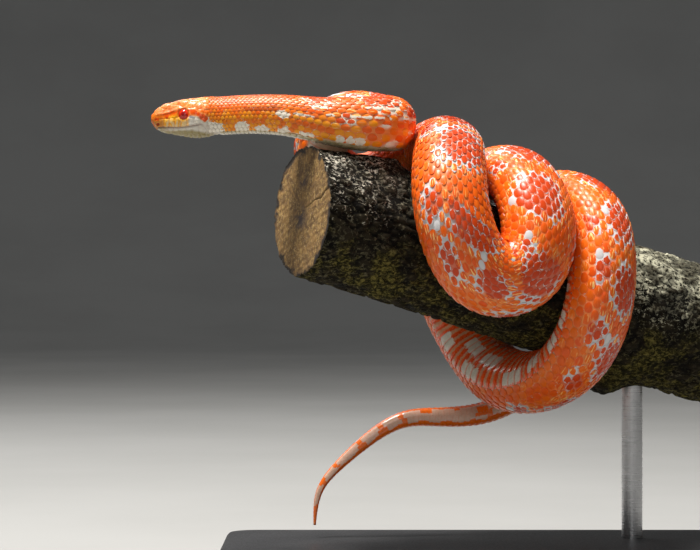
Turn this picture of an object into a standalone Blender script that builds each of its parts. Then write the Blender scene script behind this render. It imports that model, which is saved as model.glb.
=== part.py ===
"""Corn snake, amelanistic, life size, coiled round a cut length of branch on a display stand.

Sizes are in millimetres and turn into metres when a mesh is made. The origin is the centre of
the stand's underside, +Z up. The snake's head points to -X and its left side faces -Y.
"""
import math

import bpy
import numpy as np

MM = 0.001
GAP = 0.3

# Branch: its axis starts at the middle of the cut face, runs back and down, and carries the coils
BRANCH_LENGTH = 226.0
BRANCH_RECEDES = math.radians(24.0)
BRANCH_DROPS = math.radians(16.7)
CUT_LEAN = (-0.4, 1.5, -5.2)
BRANCH_SIDE_RADIUS = [(0, 30), (20, 30), (70, 30.3), (110, 31.3), (180, 33), (226, 33)]
BRANCH_CREST_RADIUS = [(0, 30), (60, 30.4), (90, 29.4), (128, 29), (150, 31), (180, 33), (226, 33)]
CREST_SWELLING = [(0, 0), (12, 2.8), (25, 4.8), (34, 6.4), (41, 3), (50, 0)]
CREST_SWELLING_AROUND, CREST_SWELLING_SPREAD = 80, 24
STUB_ALONG, STUB_AROUND, STUB_HEIGHT = 173, 268, 10.5
STUB_REACH, STUB_SPREAD = 11, 26
BARK_DEPTH = 0.7
BARK_FURROWS = [(9, 0.05, 0.3, 0.0), (14, -0.09, 0.18, 2.0)]
BRANCH_RING_STEP = 9.0
BRANCH_COLUMNS = 32

# Stand
BASE_LENGTH, BASE_WIDTH, BASE_THICKNESS, BASE_CORNER = 250.0, 140.0, 12.0, 14.0
BASE_EDGE, BASE_CORNER_STEPS = 1.2, 5
TAIL_CLEARANCE = 6.0
ROD_RADIUS = 5.0
ROD_ALONG_BRANCH = 190.0
ROD_IN_BRANCH = 14.0
ROD_IN_BASE = 7.0
ROD_SIDES = 24

# Snake: where its length is divided, counted from the snout
LENGTHS = [
    ("neck", 30, 92),
    ("forebody_1", 92, 134),
    ("forebody_2", 134, 176),
    ("forebody_3", 176, 232),
    ("midbody_1", 232, 288),
    ("midbody_2", 288, 334),
    ("midbody_3", 334, 384),
    ("midbody_4", 384, 444),
    ("midbody_5", 444, 506),
    ("midbody_6", 506, 566),
    ("midbody_7", 566, 622),
    ("midbody_8", 622, 678),
    ("midbody_9", 678, 736),
    ("hindbody_1", 736, 796),
    ("hindbody_2", 796, 852),
    ("hindbody_3", 852, 898),
    ("tail_1", 898, 960),
    ("tail_2", 960, 1030),
    ("tail_3", 1030, 1104),
]
SNAKE_LENGTH = 1104.0

# Snake: (distance from the snout, width, height)
GIRTH = [
    (30, 15.6, 17.2), (45, 16.3, 17.4), (60, 17.8, 18.4), (72, 19, 19.8), (84, 21.5, 22.6), (96, 24.2, 25),
    (150, 25, 25.5), (185, 26.5, 25), (215, 28.5, 27), (240, 30.5, 30), (260, 32.2, 30), (290, 33.8, 29),
    (330, 34.5, 29), (360, 35.5, 29.5), (390, 36.5, 29.5), (415, 34.5, 28.5), (440, 32.5, 28),
    (480, 32, 27.5), (520, 31, 28), (560, 29.4, 27.6), (595, 29.2, 27.2), (630, 33, 29),
    (655, 33.2, 29), (680, 31.5, 28.6), (725, 31, 25.8), (760, 29.6, 26), (800, 27, 24.5),
    (840, 23, 21.8), (870, 19.5, 18.8), (898, 16.5, 16.2), (930, 14.2, 14), (960, 12.4, 12.2),
    (1000, 10.4, 10.2), (1040, 7.6, 7.5), (1070, 5.2, 5.1), (1092, 2.8, 2.8), (1104, 1, 1),
]
SCUTE_STEP = 5.4
SCUTE_RAISE = 0.5
SCUTE_SHARE_OF_WIDTH = 0.03
BACK_COLUMNS, BELLY_COLUMNS = 12, 6
BELLY_SPREAD, BELLY_ROLL = 100, -10
BACK_ROUNDNESS, BELLY_ROUNDNESS = 2.1, 2.5
INNER_BEND_LIMIT = 0.86
ROUTE_SAMPLES = 6001

# Route, head and neck: (x, y, z) from the middle of the cut face, and the way the back faces
HEAD_AND_NECK = [
    ((-68, -1, 42), (0, 0.12, 1)),
    ((-46, -1, 42.3), (0, 0.12, 1)),
    ((-24, -1, 43.6), (0, 0.1, 1)),
    ((-6, -1, 42.9), (0, 0.1, 1)),
    ((9, 0, 40.9), (0, 0.08, 1)),
    ((24, 2.5, 39.7), (0, 0.06, 1)),
    ((35, 7.5, 39.8), (0.05, 0.03, 1)),
    ((39.3, 17, 40.6), (0.1, 0.05, 1)),
    ((34.5, 27.5, 42.2), (0.05, 0.15, 1)),
    ((21.4, 33.8, 43.8), (-0.05, 0.45, 0.9)),
    ((12, 36.5, 39.8), (-0.35, 0.7, 0.65)),
    ((7.8, 41.5, 31), (-0.5, 0.85, 0.1)),
    ((11.5, 48, 21.5), (-0.35, 0.95, -0.1)),
    ((21, 52, 15.5), (-0.2, 1, 0.1)),
]
# Route, coils: distance along the branch, angle round it from the front over the top,
# distance out from its axis, and how far the back is rolled from facing straight out
COILS = [
    (45, 149, 46.2, 0),
    (54.5, 131, 46.0, 0),
    (59.8, 110, 46.4, 0),
    (58.8, 88, 46.9, 0),
    (54, 70, 47.1, 5),
    (49.4, 48, 47.1, 12),
    (50.3, 26, 46.9, 15),
    (57.8, 8, 46.9, 15),
    (70, -3.5, 47.1, 15),
    (83, -4, 47.5, 15),
    (92.3, 5, 47.8, 15),
    (95.6, 22, 47.7, 15),
    (94.8, 42, 47.0, 10),
    (93.9, 62, 45.6, 3),
    (94.2, 82, 44.5, -8),
    (94.4, 104, 44.2, -8),
    (93.6, 134, 45.2, -2),
    (93.8, 163, 46.3, 4),
    (100, 190, 47.0, 18),
    (110.5, 213, 47.5, 34),
    (119.5, 236, 47.7, 48),
    (124.5, 260, 47.5, 52),
    (128.8, 285, 47.4, 50),
    (132.8, 311, 48.3, 42),
    (134, 336, 48.6, 34),
    (132.6, 360, 48.1, 28),
    (130.6, 382, 47.2, 22),
    (129.8, 402, 46.1, 16),
    (128.8, 424, 44.3, 8),
    (127.8, 448, 42.8, 0),
    (128.2, 475, 43.4, 0),
    (131, 500, 45.2, 0),
    (138, 524, 46.2, 0),
]
# Route, hind loop and tail: as for the head and neck
HIND_LOOP_AND_TAIL = [
    ((119, 105, -38), (-0.3, 0.9, -0.2)),
    ((134, 113, -46.5), (0.1, 0.9, 0.3)),
    ((148, 119.5, -49), (0.2, 0.9, 0.3)),
    ((160, 125, -50.2), (0.3, 0.9, 0.2)),
    ((170, 129.5, -54.8), (0.4, 0.9, 0.1)),
    ((174, 131, -63.5), (0.4, 0.9, 0)),
    ((169.7, 127.7, -72.3), (0.3, 0.9, -0.1)),
    ((159, 121.5, -76.8), (0.2, 0.9, -0.3)),
    ((145, 113.5, -77.2), (0.1, 0.9, -0.4)),
    ((131, 107, -77), (0, 0.95, -0.3)),
    ((112, 99, -82.5), (0, 1, -0.1)),
    ((97, 94, -91.5), (0, 1, 0)),
    ((85.3, 91.5, -95.8), (0, 1, 0)),
    ((64.3, 87, -97.4), (0, 1, 0)),
    ((47.2, 84, -98.5), (0, 1, 0)),
    ((30.8, 81, -107.3), (0, 1, 0)),
    ((16.6, 79, -119.5), (0, 1, 0)),
    ((7, 77, -131.5), (0, 1, 0)),
    ((4.2, 76, -148.9), (0, 1, 0)),
]
TAIL_TIP = HIND_LOOP_AND_TAIL[-1][0]

# Head: (distance behind the snout, half width, top, bottom), heights from the route's line
HEAD = [
    (0.0, 1.5, 0.8, -1.7), (0.6, 2.9, 2.0, -3.1), (1.5, 3.8, 3.0, -4.3), (3.0, 4.7, 4.3, -5.5),
    (5.0, 5.4, 5.7, -6.5), (7.2, 5.9, 6.5, -7.0), (9.5, 6.4, 6.8, -7.4), (12.2, 7.0, 7.7, -7.9),
    (15.2, 7.7, 8.2, -8.6), (18.2, 8.2, 8.4, -9.1), (21.2, 8.5, 8.5, -9.3), (24.2, 8.4, 8.8, -9.0),
    (27.0, 8.1, 9.1, -8.7), (30.0, 7.8, 8.7, -8.5),
]
HEAD_ROUNDNESS, HEAD_EASE = 2.3, 0.6
HEAD_RINGS, SNOUT_CROWDING = 25, 1.5
CHIN_COLUMNS, CROWN_COLUMNS = 6, 11
# Mouth: (distance behind the snout, height of its line, depth of its groove)
MOUTH = [
    (0.0, -4.4, 0.25), (2.5, -5.0, 0.5), (5.0, -5.0, 0.5), (7.7, -5.2, 0.5), (12.2, -5.5, 0.5),
    (15.8, -5.4, 0.5), (18.2, -5.2, 0.5), (20.8, -4.9, 0.4), (22.6, -4.7, 0.25), (24.5, -4.5, 0),
    (30.0, -4.3, 0),
]
MOUTH_LOWEST, MOUTH_HIGHEST = -84, 42
LIP_WIDTH, LIP_FULLNESS = 0.45, 0.25
# Swellings and hollows of the head: (behind the snout, angle up from the side, reach along,
# reach around, height), the same on both sides
HEAD_FORMS = {
    "brow": (14.0, 50, 5.5, 13, 0.45),
    "snout_edge": (6.0, 48, 4.5, 14, 0.3),
    "lore": (8.6, 12, 3.4, 22, -0.5),
    "jaw_muscle": (21.5, -8, 4.5, 28, 0.35),
    "behind_jaw": (28.0, -20, 2.5, 30, -0.3),
    "chin_fold": (7.0, -90, 4.5, 7, -0.5),
}
EYE_BEHIND_SNOUT, EYE_HEIGHT, EYE_OUT = 15.2, 0.2, 5.25
EYE_RADIUS = 3.0
EYE_SEGMENTS, EYE_RINGS = 18, 12
NOSTRIL_BEHIND_SNOUT, NOSTRIL_HEIGHT = 3.1, -3.7
NOSTRIL_RADII = (0.85, 0.55, 0.8)
NOSTRIL_SEGMENTS, NOSTRIL_RINGS = 10, 6

# Colours
HEAD_COLOUR, BODY_COLOUR, EYE_COLOUR = (0.86, 0.3, 0.06), (0.85, 0.22, 0.05), (0.35, 0.02, 0.02)
BARK_COLOUR, BASE_COLOUR, ROD_COLOUR = (0.12, 0.09, 0.06), (0.07, 0.07, 0.075), (0.5, 0.5, 0.52)

# The middle of the cut face, from the stand's underside: the tail's tip hangs clear of the base
CUT_FACE_HEIGHT = -TAIL_TIP[2] + TAIL_CLEARANCE + BASE_THICKNESS
CUT_FACE_CENTRE = np.array([-86.0, -46.0, CUT_FACE_HEIGHT])

ALONG = np.array([
    math.cos(BRANCH_RECEDES) * math.cos(BRANCH_DROPS),
    math.sin(BRANCH_RECEDES),
    -math.cos(BRANCH_RECEDES) * math.sin(BRANCH_DROPS),
])
FRONT = np.array([0.0, -1.0, 0.0]) + ALONG[1] * ALONG
FRONT /= np.linalg.norm(FRONT)
TOP = np.cross(FRONT, ALONG)


def unit(vectors):
    """Vectors scaled to length one."""
    return vectors / np.linalg.norm(vectors, axis=-1, keepdims=True)


def table(stations, at):
    """Values of a table of (place, value, ...) rows at the given places, on straight lines."""
    rows = np.array(stations, float)
    return [np.interp(at, rows[:, 0], rows[:, column]) for column in range(1, rows.shape[1])]


def eased_table(stations, at, ease=6.0, samples=7):
    """The same, with the corners of the lines rounded over a short distance."""
    shifts = np.linspace(-ease, ease, samples)
    return np.mean([table(stations, at + shift) for shift in shifts], axis=0)


def outward(around):
    """Unit vector out from the branch's axis, at an angle in degrees from the front over the top."""
    angle = math.radians(around)
    return math.cos(angle) * FRONT + math.sin(angle) * TOP


def on_branch(along, around, out):
    """Point beside the branch's axis."""
    return along * ALONG + out * outward(around)


def turn_between(around, centre):
    """Angle in degrees from centre to around, between -180 and 180."""
    return (around - centre + 180) % 360 - 180


def branch_radius(along, around):
    """Bark surface's distance from the axis, with the crest's swelling, a stub and furrows."""
    side = np.interp(along, *zip(*BRANCH_SIDE_RADIUS))
    crest = np.interp(along, *zip(*BRANCH_CREST_RADIUS))
    upward = max(math.sin(math.radians(around)), 0) ** 2
    radius = crest * upward + side * (1 - upward)
    swelling_angle = turn_between(around, CREST_SWELLING_AROUND) / CREST_SWELLING_SPREAD
    radius += np.interp(along, *zip(*CREST_SWELLING)) * math.exp(-swelling_angle ** 2)
    stub_angle = turn_between(around, STUB_AROUND) / STUB_SPREAD
    stub_along = (along - STUB_ALONG) / STUB_REACH
    radius += STUB_HEIGHT * math.exp(-stub_angle ** 2 - stub_along ** 2)
    furrow = 0.5
    for count, twist, strength, phase in BARK_FURROWS:
        furrow += strength * math.sin(count * math.radians(around) + twist * along + phase)
    return radius - BARK_DEPTH * furrow


def spline(points, at):
    """Natural cubic spline through rows of points, read at shares of its chord length.

    The first three columns are the place, and any others are carried along with it.
    """
    points = np.asarray(points, float)
    count = len(points)
    chords = np.linalg.norm(np.diff(points[:, :3], axis=0), axis=1)
    knots = np.concatenate([[0], np.cumsum(chords)])
    matrix = np.eye(count)
    right = np.zeros_like(points)
    for i in range(1, count - 1):
        matrix[i, i - 1:i + 2] = chords[i - 1], 2 * (chords[i - 1] + chords[i]), chords[i]
        ahead = (points[i + 1] - points[i]) / chords[i]
        behind = (points[i] - points[i - 1]) / chords[i - 1]
        right[i] = 6 * (ahead - behind)
    bend = np.linalg.solve(matrix, right)
    at = np.asarray(at) * knots[-1]
    low = np.clip(np.searchsorted(knots, at, side="right") - 1, 0, count - 2)
    before = (knots[low + 1] - at)[:, None]
    after = (at - knots[low])[:, None]
    chord = chords[low][:, None]
    cubic = (bend[low] * before ** 3 + bend[low + 1] * after ** 3) / (6 * chord)
    return (cubic + (points[low] / chord - bend[low] * chord / 6) * before
            + (points[low + 1] / chord - bend[low + 1] * chord / 6) * after)


def route_points():
    """Rows of place, way the back faces, and roll in degrees, from the snout to the tail tip."""
    rows = [(*place, *unit(np.array(back, float)), 0) for place, back in HEAD_AND_NECK]
    for along, around, out, roll in COILS:
        rows.append((*on_branch(along, around, out), *outward(around), roll))
    rows += [(*place, *unit(np.array(back, float)), 0) for place, back in HIND_LOOP_AND_TAIL]
    return rows


class Route:
    """The line through the middle of the snake, read by distance from the snout."""

    def __init__(self):
        fine = spline(route_points(), np.linspace(0, 1, ROUTE_SAMPLES))
        steps = np.linalg.norm(np.diff(fine[:, :3], axis=0), axis=1)
        self.distance = np.concatenate([[0], np.cumsum(steps)])
        self.distance *= SNAKE_LENGTH / self.distance[-1]
        self.place = fine[:, :3]
        self.ahead = unit(np.gradient(self.place, self.distance, axis=0))
        self.bend = np.gradient(self.ahead, self.distance, axis=0)
        hint = fine[:, 3:6]
        level = unit(hint - (hint * self.ahead).sum(1, keepdims=True) * self.ahead)
        roll = np.radians(fine[:, 6:7])
        self.back = level * np.cos(roll) + np.cross(self.ahead, level) * np.sin(roll)

    def read(self, values, at):
        """Vector at a distance from the snout, between the sampled ones."""
        return np.stack([np.interp(at, self.distance, column) for column in values.T], -1)

    def frame(self, at):
        """Place, direction, side, back and bend at a distance from the snout."""
        ahead = unit(self.read(self.ahead, at))
        back = self.read(self.back, at)
        back = unit(back - (back @ ahead) * ahead)
        return self.read(self.place, at), ahead, np.cross(ahead, back), back, self.read(self.bend, at)


def superellipse(angle, half_width, half_height, roundness):
    """Distance from the middle of a superellipse to its edge, at an angle from the side."""
    across = abs(math.cos(angle)) / half_width
    up = abs(math.sin(angle)) / half_height
    return (across ** roundness + up ** roundness) ** (-1 / roundness)


def body_angles():
    """Angles round a body ring from one edge of the belly, over the back, and along the belly.

    The belly is rolled a little to the snake's right, as it lies in this pose.
    """
    edge = -90 + BELLY_SPREAD / 2
    over_back = np.linspace(edge, 180 - edge, BACK_COLUMNS, endpoint=False)
    along_belly = np.linspace(180 - edge, 360 + edge, BELLY_COLUMNS, endpoint=False)
    return np.radians(np.concatenate([over_back, along_belly]) + BELLY_ROLL)


def body_ring(route, at, inset=0.0):
    """Closed ring of skin points: rounded back, flatter belly, pulled in on the inside of a bend.

    The belly between its two edges is set in by the inset.
    """
    place, _, side, back, bend = route.frame(at)
    width, height = eased_table(GIRTH, at)
    ring = []
    for column, angle in enumerate(body_angles()):
        roundness = BACK_ROUNDNESS if math.sin(angle) >= 0 else BELLY_ROUNDNESS
        reach = superellipse(angle, width / 2, height / 2, roundness)
        if column > BACK_COLUMNS:
            reach -= inset
        offset = reach * (math.cos(angle) * side + math.sin(angle) * back)
        crowding = bend @ offset
        if crowding > INNER_BEND_LIMIT:
            offset *= INNER_BEND_LIMIT / crowding
        ring.append(place + offset)
    return ring


def on_head(at, angle, swell=0.0):
    """Point of the head's skin as (along, to the side, up), at an angle up from the left side."""
    half_width, top, bottom = eased_table(HEAD, at, HEAD_EASE)
    half_height = (top - bottom) / 2
    reach = superellipse(angle, half_width, half_height, HEAD_ROUNDNESS) + swell
    folded = math.degrees(math.asin(math.sin(angle)))
    for behind, up, along, around, height in HEAD_FORMS.values():
        away = ((at - behind) / along) ** 2 + ((folded - up) / around) ** 2
        reach += height * math.exp(-away)
    return np.array([at, reach * math.cos(angle), (top + bottom) / 2 + reach * math.sin(angle)])


def mouth_angle(at):
    """Angle up from the side at which the line of the mouth lies, or just off the chin's middle."""
    height, _ = table(MOUTH, at)
    angles = np.radians(np.arange(MOUTH_LOWEST, MOUTH_HIGHEST, 2))
    heights = [on_head(at, angle)[2] for angle in angles]
    return float(np.interp(height, heights, angles))


def head_ring(route, at):
    """Closed ring of the head, with its columns set to the line of the mouth and the lips."""
    place, _, side, back, _ = route.frame(at)
    _, depth = table(MOUTH, at)
    mouth = mouth_angle(at)
    lip = LIP_WIDTH / np.linalg.norm(on_head(at, mouth)[1:])
    fullness = LIP_FULLNESS * depth
    half = [(angle, 0.0) for angle in np.linspace(-math.pi / 2, mouth - 1.2 * lip, CHIN_COLUMNS)]
    half[-1] = (half[-1][0], fullness)
    half.append((mouth, -depth))
    half += [(angle, 0.0) for angle in np.linspace(mouth + lip, math.pi / 2, CROWN_COLUMNS)]
    half[CHIN_COLUMNS + 1] = (mouth + lip, fullness)
    mirrored = [(math.pi - angle, swell) for angle, swell in half[-2:0:-1]]
    points = [on_head(at, angle, swell) for angle, swell in half + mirrored]
    return [place + point[1] * side + point[2] * back for point in points]


def new_object(name, vertices, faces, material):
    """Mesh object from points in millimetres from the middle of the cut face."""
    mesh = bpy.data.meshes.new(name)
    placed = (np.asarray(vertices) + CUT_FACE_CENTRE) * MM
    mesh.from_pydata(placed.tolist(), [], faces)
    mesh.update()
    thing = bpy.data.objects.new(name, mesh)
    bpy.context.scene.collection.objects.link(thing)
    if material:
        mesh.materials.append(material)
    return thing


def tube(name, rings, material):
    """Closed body through rings of equal count, with a flat face at each end.

    Seen from the first ring's end, looking along the body, the rings run clockwise.
    """
    count = len(rings[0])
    vertices = [point for ring in rings for point in ring]
    faces = []
    for row in range(len(rings) - 1):
        for column in range(count):
            ahead = (column + 1) % count
            low, high = row * count, (row + 1) * count
            faces.append((low + column, high + column, high + ahead, low + ahead))
    faces.append(tuple(range(count)))
    last = (len(rings) - 1) * count
    faces.append(tuple(reversed(range(last, last + count))))
    return new_object(name, vertices, faces, material)


def shade(thing, angle=40):
    """Smooth shading, broken at edges sharper than the angle."""
    thing.data.shade_smooth()
    thing.data.set_sharp_from_angle(angle=math.radians(angle))


def principled(name, colour, roughness, metallic=0.0):
    """Plain material for one sub-part."""
    material = bpy.data.materials.new(name)
    material.use_nodes = True
    shader = material.node_tree.nodes["Principled BSDF"]
    shader.inputs["Base Color"].default_value = (*colour, 1)
    shader.inputs["Roughness"].default_value = roughness
    shader.inputs["Metallic"].default_value = metallic
    material.diffuse_color = (*colour, 1)
    return material


def scuted_tube(name, plain_rings, inset_rings, material):
    """Closed body whose belly is a row of scutes, each with its rear edge standing proud.

    Each ring but the first and last is a plain one followed by an inset copy of its belly.
    """
    count = len(plain_rings[0])
    belly = range(BACK_COLUMNS + 1, count)
    vertices = list(plain_rings[0])
    for column in belly:
        vertices[column] = inset_rings[0][column]
    front = list(range(count))
    faces = [tuple(front)]
    for row in range(1, len(plain_rings)):
        rear = list(range(len(vertices), len(vertices) + count))
        vertices += plain_rings[row]
        for column in range(count):
            ahead = (column + 1) % count
            faces.append((front[column], rear[column], rear[ahead], front[ahead]))
        if row == len(plain_rings) - 1:
            faces.append(tuple(reversed(rear)))
            break
        front = list(rear)
        for column in belly:
            front[column] = len(vertices)
            vertices.append(inset_rings[row][column])
        for column in range(BACK_COLUMNS, count):
            ahead = (column + 1) % count
            riser = (rear[column], front[column], front[ahead], rear[ahead])
            faces.append(tuple(dict.fromkeys(riser)))
    return new_object(name, vertices, faces, material)


def make_body(route):
    """The neck, trunk and tail as a row of lengths that meet face to face."""
    for name, start, end in LENGTHS:
        start += GAP / 2
        end -= GAP / 2
        places = np.linspace(start, end, max(2, round((end - start) / SCUTE_STEP) + 1))
        plain_rings = [body_ring(route, at) for at in places]
        insets = [min(SCUTE_RAISE, SCUTE_SHARE_OF_WIDTH * table(GIRTH, at)[0]) for at in places]
        inset_rings = [body_ring(route, at, inset) for at, inset in zip(places, insets)]
        skin = principled(name, BODY_COLOUR, 0.4)
        shade(scuted_tube(name, plain_rings, inset_rings, skin))


def sphere(centre, radii, axes, segments, rings):
    """Vertices and faces of an ellipsoid, its poles on the last axis."""
    axes = np.array(axes) * np.array(radii)[:, None]
    vertices = [np.asarray(centre) + axes[2]]
    for row in range(1, rings):
        polar = math.pi * row / rings
        for column in range(segments):
            turn = 2 * math.pi * column / segments
            ring_point = math.sin(polar) * (math.cos(turn) * axes[0] + math.sin(turn) * axes[1])
            vertices.append(np.asarray(centre) + ring_point + math.cos(polar) * axes[2])
    vertices.append(np.asarray(centre) - axes[2])
    faces = [(0, 1 + column, 1 + (column + 1) % segments) for column in range(segments)]
    for row in range(rings - 2):
        low, high = 1 + row * segments, 1 + (row + 1) * segments
        for column in range(segments):
            ahead = (column + 1) % segments
            faces.append((low + column, high + column, high + ahead, low + ahead))
    last, low = len(vertices) - 1, 1 + (rings - 2) * segments
    faces += [(low + column, last, low + (column + 1) % segments) for column in range(segments)]
    return vertices, faces


def cut_away(thing, cutter):
    """Cutter is taken out of thing, and stays as a guide that isn't rendered."""
    cutter.display_type = "WIRE"
    cutter.hide_render = True
    boolean = thing.modifiers.new("cut", "BOOLEAN")
    boolean.operation = "DIFFERENCE"
    boolean.object = cutter
    boolean.solver = "EXACT"


def make_head(route):
    """Head with its mouth, nostrils and two eye sockets, and an eye in each."""
    places = np.linspace(0, 1, HEAD_RINGS) ** SNOUT_CROWDING * (LENGTHS[0][1] - GAP / 2)
    rings = [head_ring(route, at) for at in places]
    head = tube("head", rings, principled("head", HEAD_COLOUR, 0.35))
    shade(head, 50)
    for name, hand in (("left", 1), ("right", -1)):
        place, ahead, side, back, _ = route.frame(EYE_BEHIND_SNOUT)
        centre = place + hand * EYE_OUT * side + EYE_HEIGHT * back
        axes = np.array([ahead, hand * np.cross(side, ahead), hand * side])
        vertices, faces = sphere(centre, [EYE_RADIUS] * 3, axes, EYE_SEGMENTS, EYE_RINGS)
        iris = principled(name + "_eye", EYE_COLOUR, 0.08)
        shade(new_object(name + "_eye", vertices, faces, iris))
        vertices, faces = sphere(centre, [EYE_RADIUS + GAP] * 3, axes, EYE_SEGMENTS, EYE_RINGS)
        cut_away(head, new_object(name + "_socket", vertices, faces, None))
        place, ahead, side, back, _ = route.frame(NOSTRIL_BEHIND_SNOUT)
        out = nostril_out()
        centre = place + hand * out * side + NOSTRIL_HEIGHT * back
        vertices, faces = sphere(centre, NOSTRIL_RADII, axes, NOSTRIL_SEGMENTS, NOSTRIL_RINGS)
        cut_away(head, new_object(name + "_nostril", vertices, faces, None))


def nostril_out():
    """How far to the side the head's skin lies at the nostril."""
    angles = np.radians(np.linspace(-80, 40, 61))
    points = [on_head(NOSTRIL_BEHIND_SNOUT, angle) for angle in angles]
    return float(np.interp(NOSTRIL_HEIGHT, [p[2] for p in points], [p[1] for p in points]))


def cut_place(around):
    """Distance along the axis of the leaning saw cut, at an angle round the branch."""
    middle, front, top = CUT_LEAN
    angle = math.radians(around)
    return middle + front * math.cos(angle) + top * math.sin(angle)


def make_perch():
    """Branch from its leaning saw cut to its straight far end."""
    rings = []
    for step in np.linspace(0, 1, round(BRANCH_LENGTH / BRANCH_RING_STEP) + 1):
        ring = []
        for column in range(BRANCH_COLUMNS):
            around = 360 * column / BRANCH_COLUMNS
            along = cut_place(around) * (1 - step) + BRANCH_LENGTH * step
            ring.append(on_branch(along, around, branch_radius(along, around)))
        rings.append(ring)
    perch = tube("perch", rings, principled("perch", BARK_COLOUR, 0.9))
    shade(perch)
    return perch


def cylinder(name, foot, radius, height, sides, material):
    """Upright prism of many sides."""
    vertices = []
    for level in (0, height):
        for corner in range(sides):
            angle = 2 * math.pi * corner / sides
            vertices.append(foot + np.array([radius * math.cos(angle), radius * math.sin(angle), level]))
    faces = [tuple(reversed(range(sides))), tuple(range(sides, 2 * sides))]
    faces += [(i, (i + 1) % sides, (i + 1) % sides + sides, i + sides) for i in range(sides)]
    return new_object(name, vertices, faces, material)


def rounded_rectangle(length, width, corner, level):
    """Outline with rounded corners, anticlockwise, at a level."""
    outline = []
    for turn, (x_way, y_way) in enumerate(((1, 1), (-1, 1), (-1, -1), (1, -1))):
        for angle in np.linspace(turn, turn + 1, BASE_CORNER_STEPS) * math.pi / 2:
            x = x_way * (length / 2 - corner) + corner * math.cos(angle)
            y = y_way * (width / 2 - corner) + corner * math.sin(angle)
            outline.append(np.array([x, y, level]) - CUT_FACE_CENTRE)
    return outline


def make_stand(perch):
    """Flat base, and one rod that stands in a blind hole in the base and in the branch."""
    rings = [
        rounded_rectangle(BASE_LENGTH - 2 * BASE_EDGE, BASE_WIDTH - 2 * BASE_EDGE,
                          BASE_CORNER - BASE_EDGE, BASE_THICKNESS),
        rounded_rectangle(BASE_LENGTH, BASE_WIDTH, BASE_CORNER, BASE_THICKNESS - BASE_EDGE),
        rounded_rectangle(BASE_LENGTH, BASE_WIDTH, BASE_CORNER, 0),
    ]
    base = tube("stand_base", rings, principled("stand_base", BASE_COLOUR, 0.5))
    shade(base, 30)

    rod_place = on_branch(ROD_ALONG_BRANCH, 270, branch_radius(ROD_ALONG_BRANCH, 270))
    foot = np.array([rod_place[0], rod_place[1], BASE_THICKNESS - ROD_IN_BASE - CUT_FACE_HEIGHT])
    height = rod_place[2] + ROD_IN_BRANCH - foot[2]
    steel = principled("stand_rod", ROD_COLOUR, 0.35, 1.0)
    shade(cylinder("stand_rod", foot, ROD_RADIUS, height, ROD_SIDES, steel))
    hole_foot = foot - np.array([0, 0, GAP])
    hole = cylinder("rod_hole", hole_foot, ROD_RADIUS + GAP, height + 2 * GAP, ROD_SIDES, None)
    cut_away(base, hole)
    cut_away(perch, hole)


def build():
    for thing in list(bpy.data.objects):
        bpy.data.objects.remove(thing)
    route = Route()
    make_head(route)
    make_body(route)
    make_stand(make_perch())


build()
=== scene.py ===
"""Looks of the corn snake on its branch: skin, scales, scutes, eyes, bark, stand, floor and light.

Sizes are in millimetres from the middle of the branch's cut face, as in the part's own source,
and turn into metres when a mesh is made. Angles round the body start at its left side and go
over the back; those round the branch start at its front and go over the top.
"""
import math

import bpy
import numpy as np
from mathutils import Matrix


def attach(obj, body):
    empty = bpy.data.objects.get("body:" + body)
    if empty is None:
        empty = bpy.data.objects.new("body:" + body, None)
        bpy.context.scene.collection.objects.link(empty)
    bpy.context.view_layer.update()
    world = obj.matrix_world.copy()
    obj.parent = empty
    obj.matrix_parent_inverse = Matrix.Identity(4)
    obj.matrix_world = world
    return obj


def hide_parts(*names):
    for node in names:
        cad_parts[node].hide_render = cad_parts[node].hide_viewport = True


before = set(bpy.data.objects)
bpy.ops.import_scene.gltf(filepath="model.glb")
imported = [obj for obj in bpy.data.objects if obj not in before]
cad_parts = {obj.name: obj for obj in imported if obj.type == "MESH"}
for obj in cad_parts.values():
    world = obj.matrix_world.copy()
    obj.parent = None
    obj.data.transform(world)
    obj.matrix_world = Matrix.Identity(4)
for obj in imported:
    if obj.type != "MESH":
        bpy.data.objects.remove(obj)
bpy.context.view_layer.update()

MM = 0.001
TAIL_CLEARANCE, BASE_THICKNESS = 6.0, 12.0

# Branch
BRANCH_LENGTH, BRANCH_HALF_WIDTH = 226.0, 30.0
BRANCH_RECEDES = math.radians(24.0)
BRANCH_DROPS = math.radians(16.7)
CUT_LEAN = (-0.4, 1.5, -5.2)
BRANCH_SIDE_RADIUS = [(0, 30), (20, 30), (70, 30.3), (110, 31.3), (180, 33), (226, 33)]
BRANCH_CREST_RADIUS = [(0, 30), (60, 30.4), (90, 29.4), (128, 29), (150, 31), (180, 33), (226, 33)]
CREST_SWELLING = [(0, 0), (12, 2.8), (25, 4.8), (34, 6.4), (41, 3), (50, 0)]
CREST_SWELLING_AROUND, CREST_SWELLING_SPREAD = 80, 24
STUB_ALONG, STUB_AROUND, STUB_HEIGHT = 173, 268, 10.5
STUB_REACH, STUB_SPREAD = 11, 26
BARK_DEPTH, BARK_RELIEF = 0.7, 1.9
BARK_FURROWS = [(9, 0.05, 0.3, 0.0), (14, -0.09, 0.18, 2.0)]
BRANCH_ROWS, BRANCH_COLUMNS, CUT_RINGS = 270, 250, 46
CRACK_ANGLE, CRACK_WIDTH = 28, 0.24

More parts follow.
